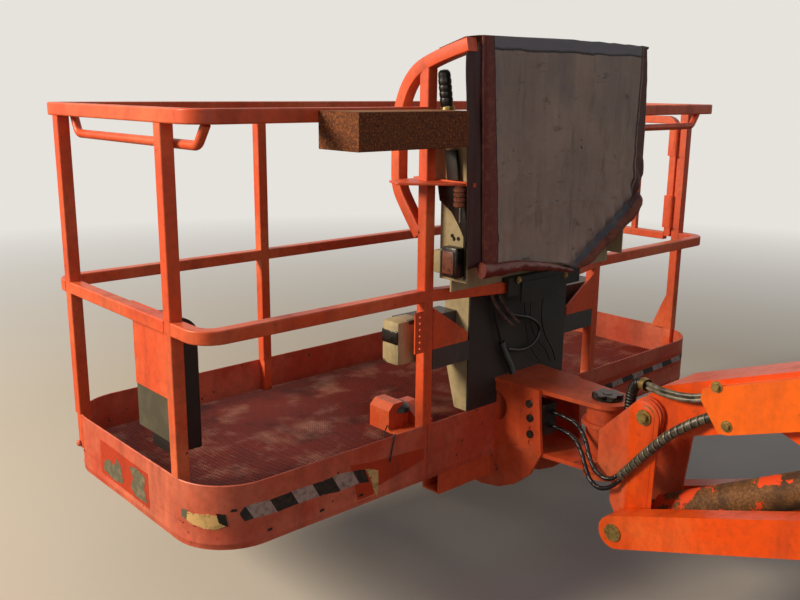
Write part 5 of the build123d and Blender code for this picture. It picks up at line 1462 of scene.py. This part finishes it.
# %% Scallops and bolts
# Painted shade: black discs stand for the dark inside the scallop notches.
SCALLOP_X = -0.165
for index, (inward, height) in enumerate(((-0.189, 0.246), (-0.195, 0.199), (-0.198, 0.145))):
    notch_shade = disc(at(SCALLOP_X, inward, height), (-1, 0, 0), 0.013, -0.004, 0.002, 20)
    piece("scallop_" + str(index), notch_shade, black_grease_and_shade, "platform")
TO_LEFT = (-1, 0, 0)
TO_NEAR = (0, -1, 0)
BOLTS = [
    # name, place, axis, across the flats, height, body
    ("guard_bolt_upper", (-0.126, -0.792, 0.453), TO_LEFT, 0.019, 0.008, "upper_arm"),
    ("guard_bolt_lower", (-0.126, -0.830, 0.352), TO_LEFT, 0.019, 0.008, "upper_arm"),
    ("head_bolt", (-0.117, *STRAP_TOP), TO_LEFT, 0.028, 0.012, "head"),
    ("tray_bolt_left", (-0.128, -0.0942, 0.630), TO_NEAR, 0.013, 0.006, "platform"),
    ("tray_bolt_right", (0.118, -0.0902, 0.612), TO_NEAR, 0.013, 0.006, "platform"),
]
for name, place, axis, across_flats, tall, body in BOLTS:
    piece(name, hex_bolt(at(*place), axis, across_flats, tall), zinc, body)
print("bolts", len(BOLTS))

# %% [markdown]
# ## Stage
# A plain pale floor, a pale world, one broad soft lamp from the left and behind, and a weak
# broad fill. The key comes in low, so the faces that look left are bright and the near faces
# lie in open shade, as they do on the real machine on a clear afternoon.

# %% Pale floor
# Plain pale paper under the part. It is a little darker for the light that it sends back than
# for the camera, so the undersides stay dark, and it fades into the white of the world.
FLOOR_LEVEL = -0.80
MIDDLE = (0.0, 1.4, FLOOR_LEVEL)
FADE_FROM = 3.0
FADE_TO = 9.0
PALE = "#E6E3DD"
pale_floor, tree, shader, where = new_material("pale_studio_floor")
shader.inputs["Roughness"].default_value = 0.9
away = add(tree, "ShaderNodeVectorMath", {0: where, 1: MIDDLE}, operation="DISTANCE")
fade = add(tree, "ShaderNodeMapRange", {"Value": away.outputs["Value"], "From Min": FADE_FROM,
                                        "From Max": FADE_TO})
seen = add(tree, "ShaderNodeLightPath").outputs["Is Camera Ray"]
tree.links.new(coats(tree, "#7A756C", (seen, "#CFCCC6")), shader.inputs["Base Color"])
share = add(tree, "ShaderNodeMath", {0: fade.outputs["Result"], 1: seen}, operation="MULTIPLY")
glow = add(tree, "ShaderNodeEmission", {"Color": PALE, "Strength": 1.0})
mixed = add(tree, "ShaderNodeMixShader", {0: share.outputs[0], 1: shader.outputs["BSDF"],
                                          2: glow.outputs["Emission"]})
tree.links.new(mixed.outputs["Shader"], tree.nodes["Material Output"].inputs["Surface"])
ground = bmesh.new()
bmesh.ops.create_circle(ground, cap_ends=True, segments=96, radius=40.0)
bmesh.ops.translate(ground, vec=MIDDLE, verts=ground.verts)
mesh = bpy.data.meshes.new("studio_floor")
ground.to_mesh(mesh)
ground.free()
mesh.materials.append(pale_floor)
studio_floor = bpy.data.objects.new("studio_floor", mesh)
bpy.context.scene.collection.objects.link(studio_floor)
studio_floor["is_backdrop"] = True
print("floor", -FLOOR_LEVEL, "m under the frame's origin")

# %% World and lamps
# The world is a weak cool sky for the light, and a plain pale wall where the camera, a
# reflection or clear plastic looks at it.
world = bpy.data.worlds.new("studio")
bpy.context.scene.world = world
world.use_nodes = True
tree = world.node_tree
tree.nodes.clear()
seen = add(tree, "ShaderNodeLightPath")
either = add(tree, "ShaderNodeMath", {0: seen.outputs["Is Camera Ray"], 1: seen.outputs["Is Glossy Ray"]},
             operation="MAXIMUM")
either = add(tree, "ShaderNodeMath", {0: either.outputs[0], 1: seen.outputs["Is Transmission Ray"]},
             operation="MAXIMUM")
dim = add(tree, "ShaderNodeBackground", {"Color": "#F2F5FA", "Strength": 0.13})
bright = add(tree, "ShaderNodeBackground", {"Color": PALE, "Strength": 1.0})
sky = add(tree, "ShaderNodeMixShader", {0: either.outputs[0], 1: dim.outputs[0], 2: bright.outputs[0]})
add(tree, "ShaderNodeOutputWorld", {"Surface": sky.outputs[0]})
AIM = (0.0, 1.9, 0.2)


def lamp(name, place, size, power, colour):
    """A square area lamp, its side in metres and its power in watts, aimed at the platform."""
    data = bpy.data.lights.new(name, "AREA")
    data.size = size
    data.energy = power
    data.color = linear(colour)[:3]
    made = bpy.data.objects.new(name, data)
    made.location = place
    made.rotation_euler = (Vector(AIM) - Vector(place)).to_track_quat("-Z", "Y").to_euler()
    bpy.context.scene.collection.objects.link(made)


lamp("key", (-7.6, 5.6, 3.9), 2.4, 1050, "#FFEACC")
lamp("fill", (-3.0, -6.0, 3.4), 4.0, 80, "#EEF2FA")
bpy.context.scene.view_settings.view_transform = "Standard"
print("stage ready")

# %% Sizes and finish
bpy.context.view_layer.update()
boxes_now = {"solids": solid_box, "dressed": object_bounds()}
sizes = {name: [list(corner) for corner in box] for name, box in boxes_now.items()}
for name, box in sizes.items():
    print(name, [[round(value, 3) for value in corner] for corner in box])
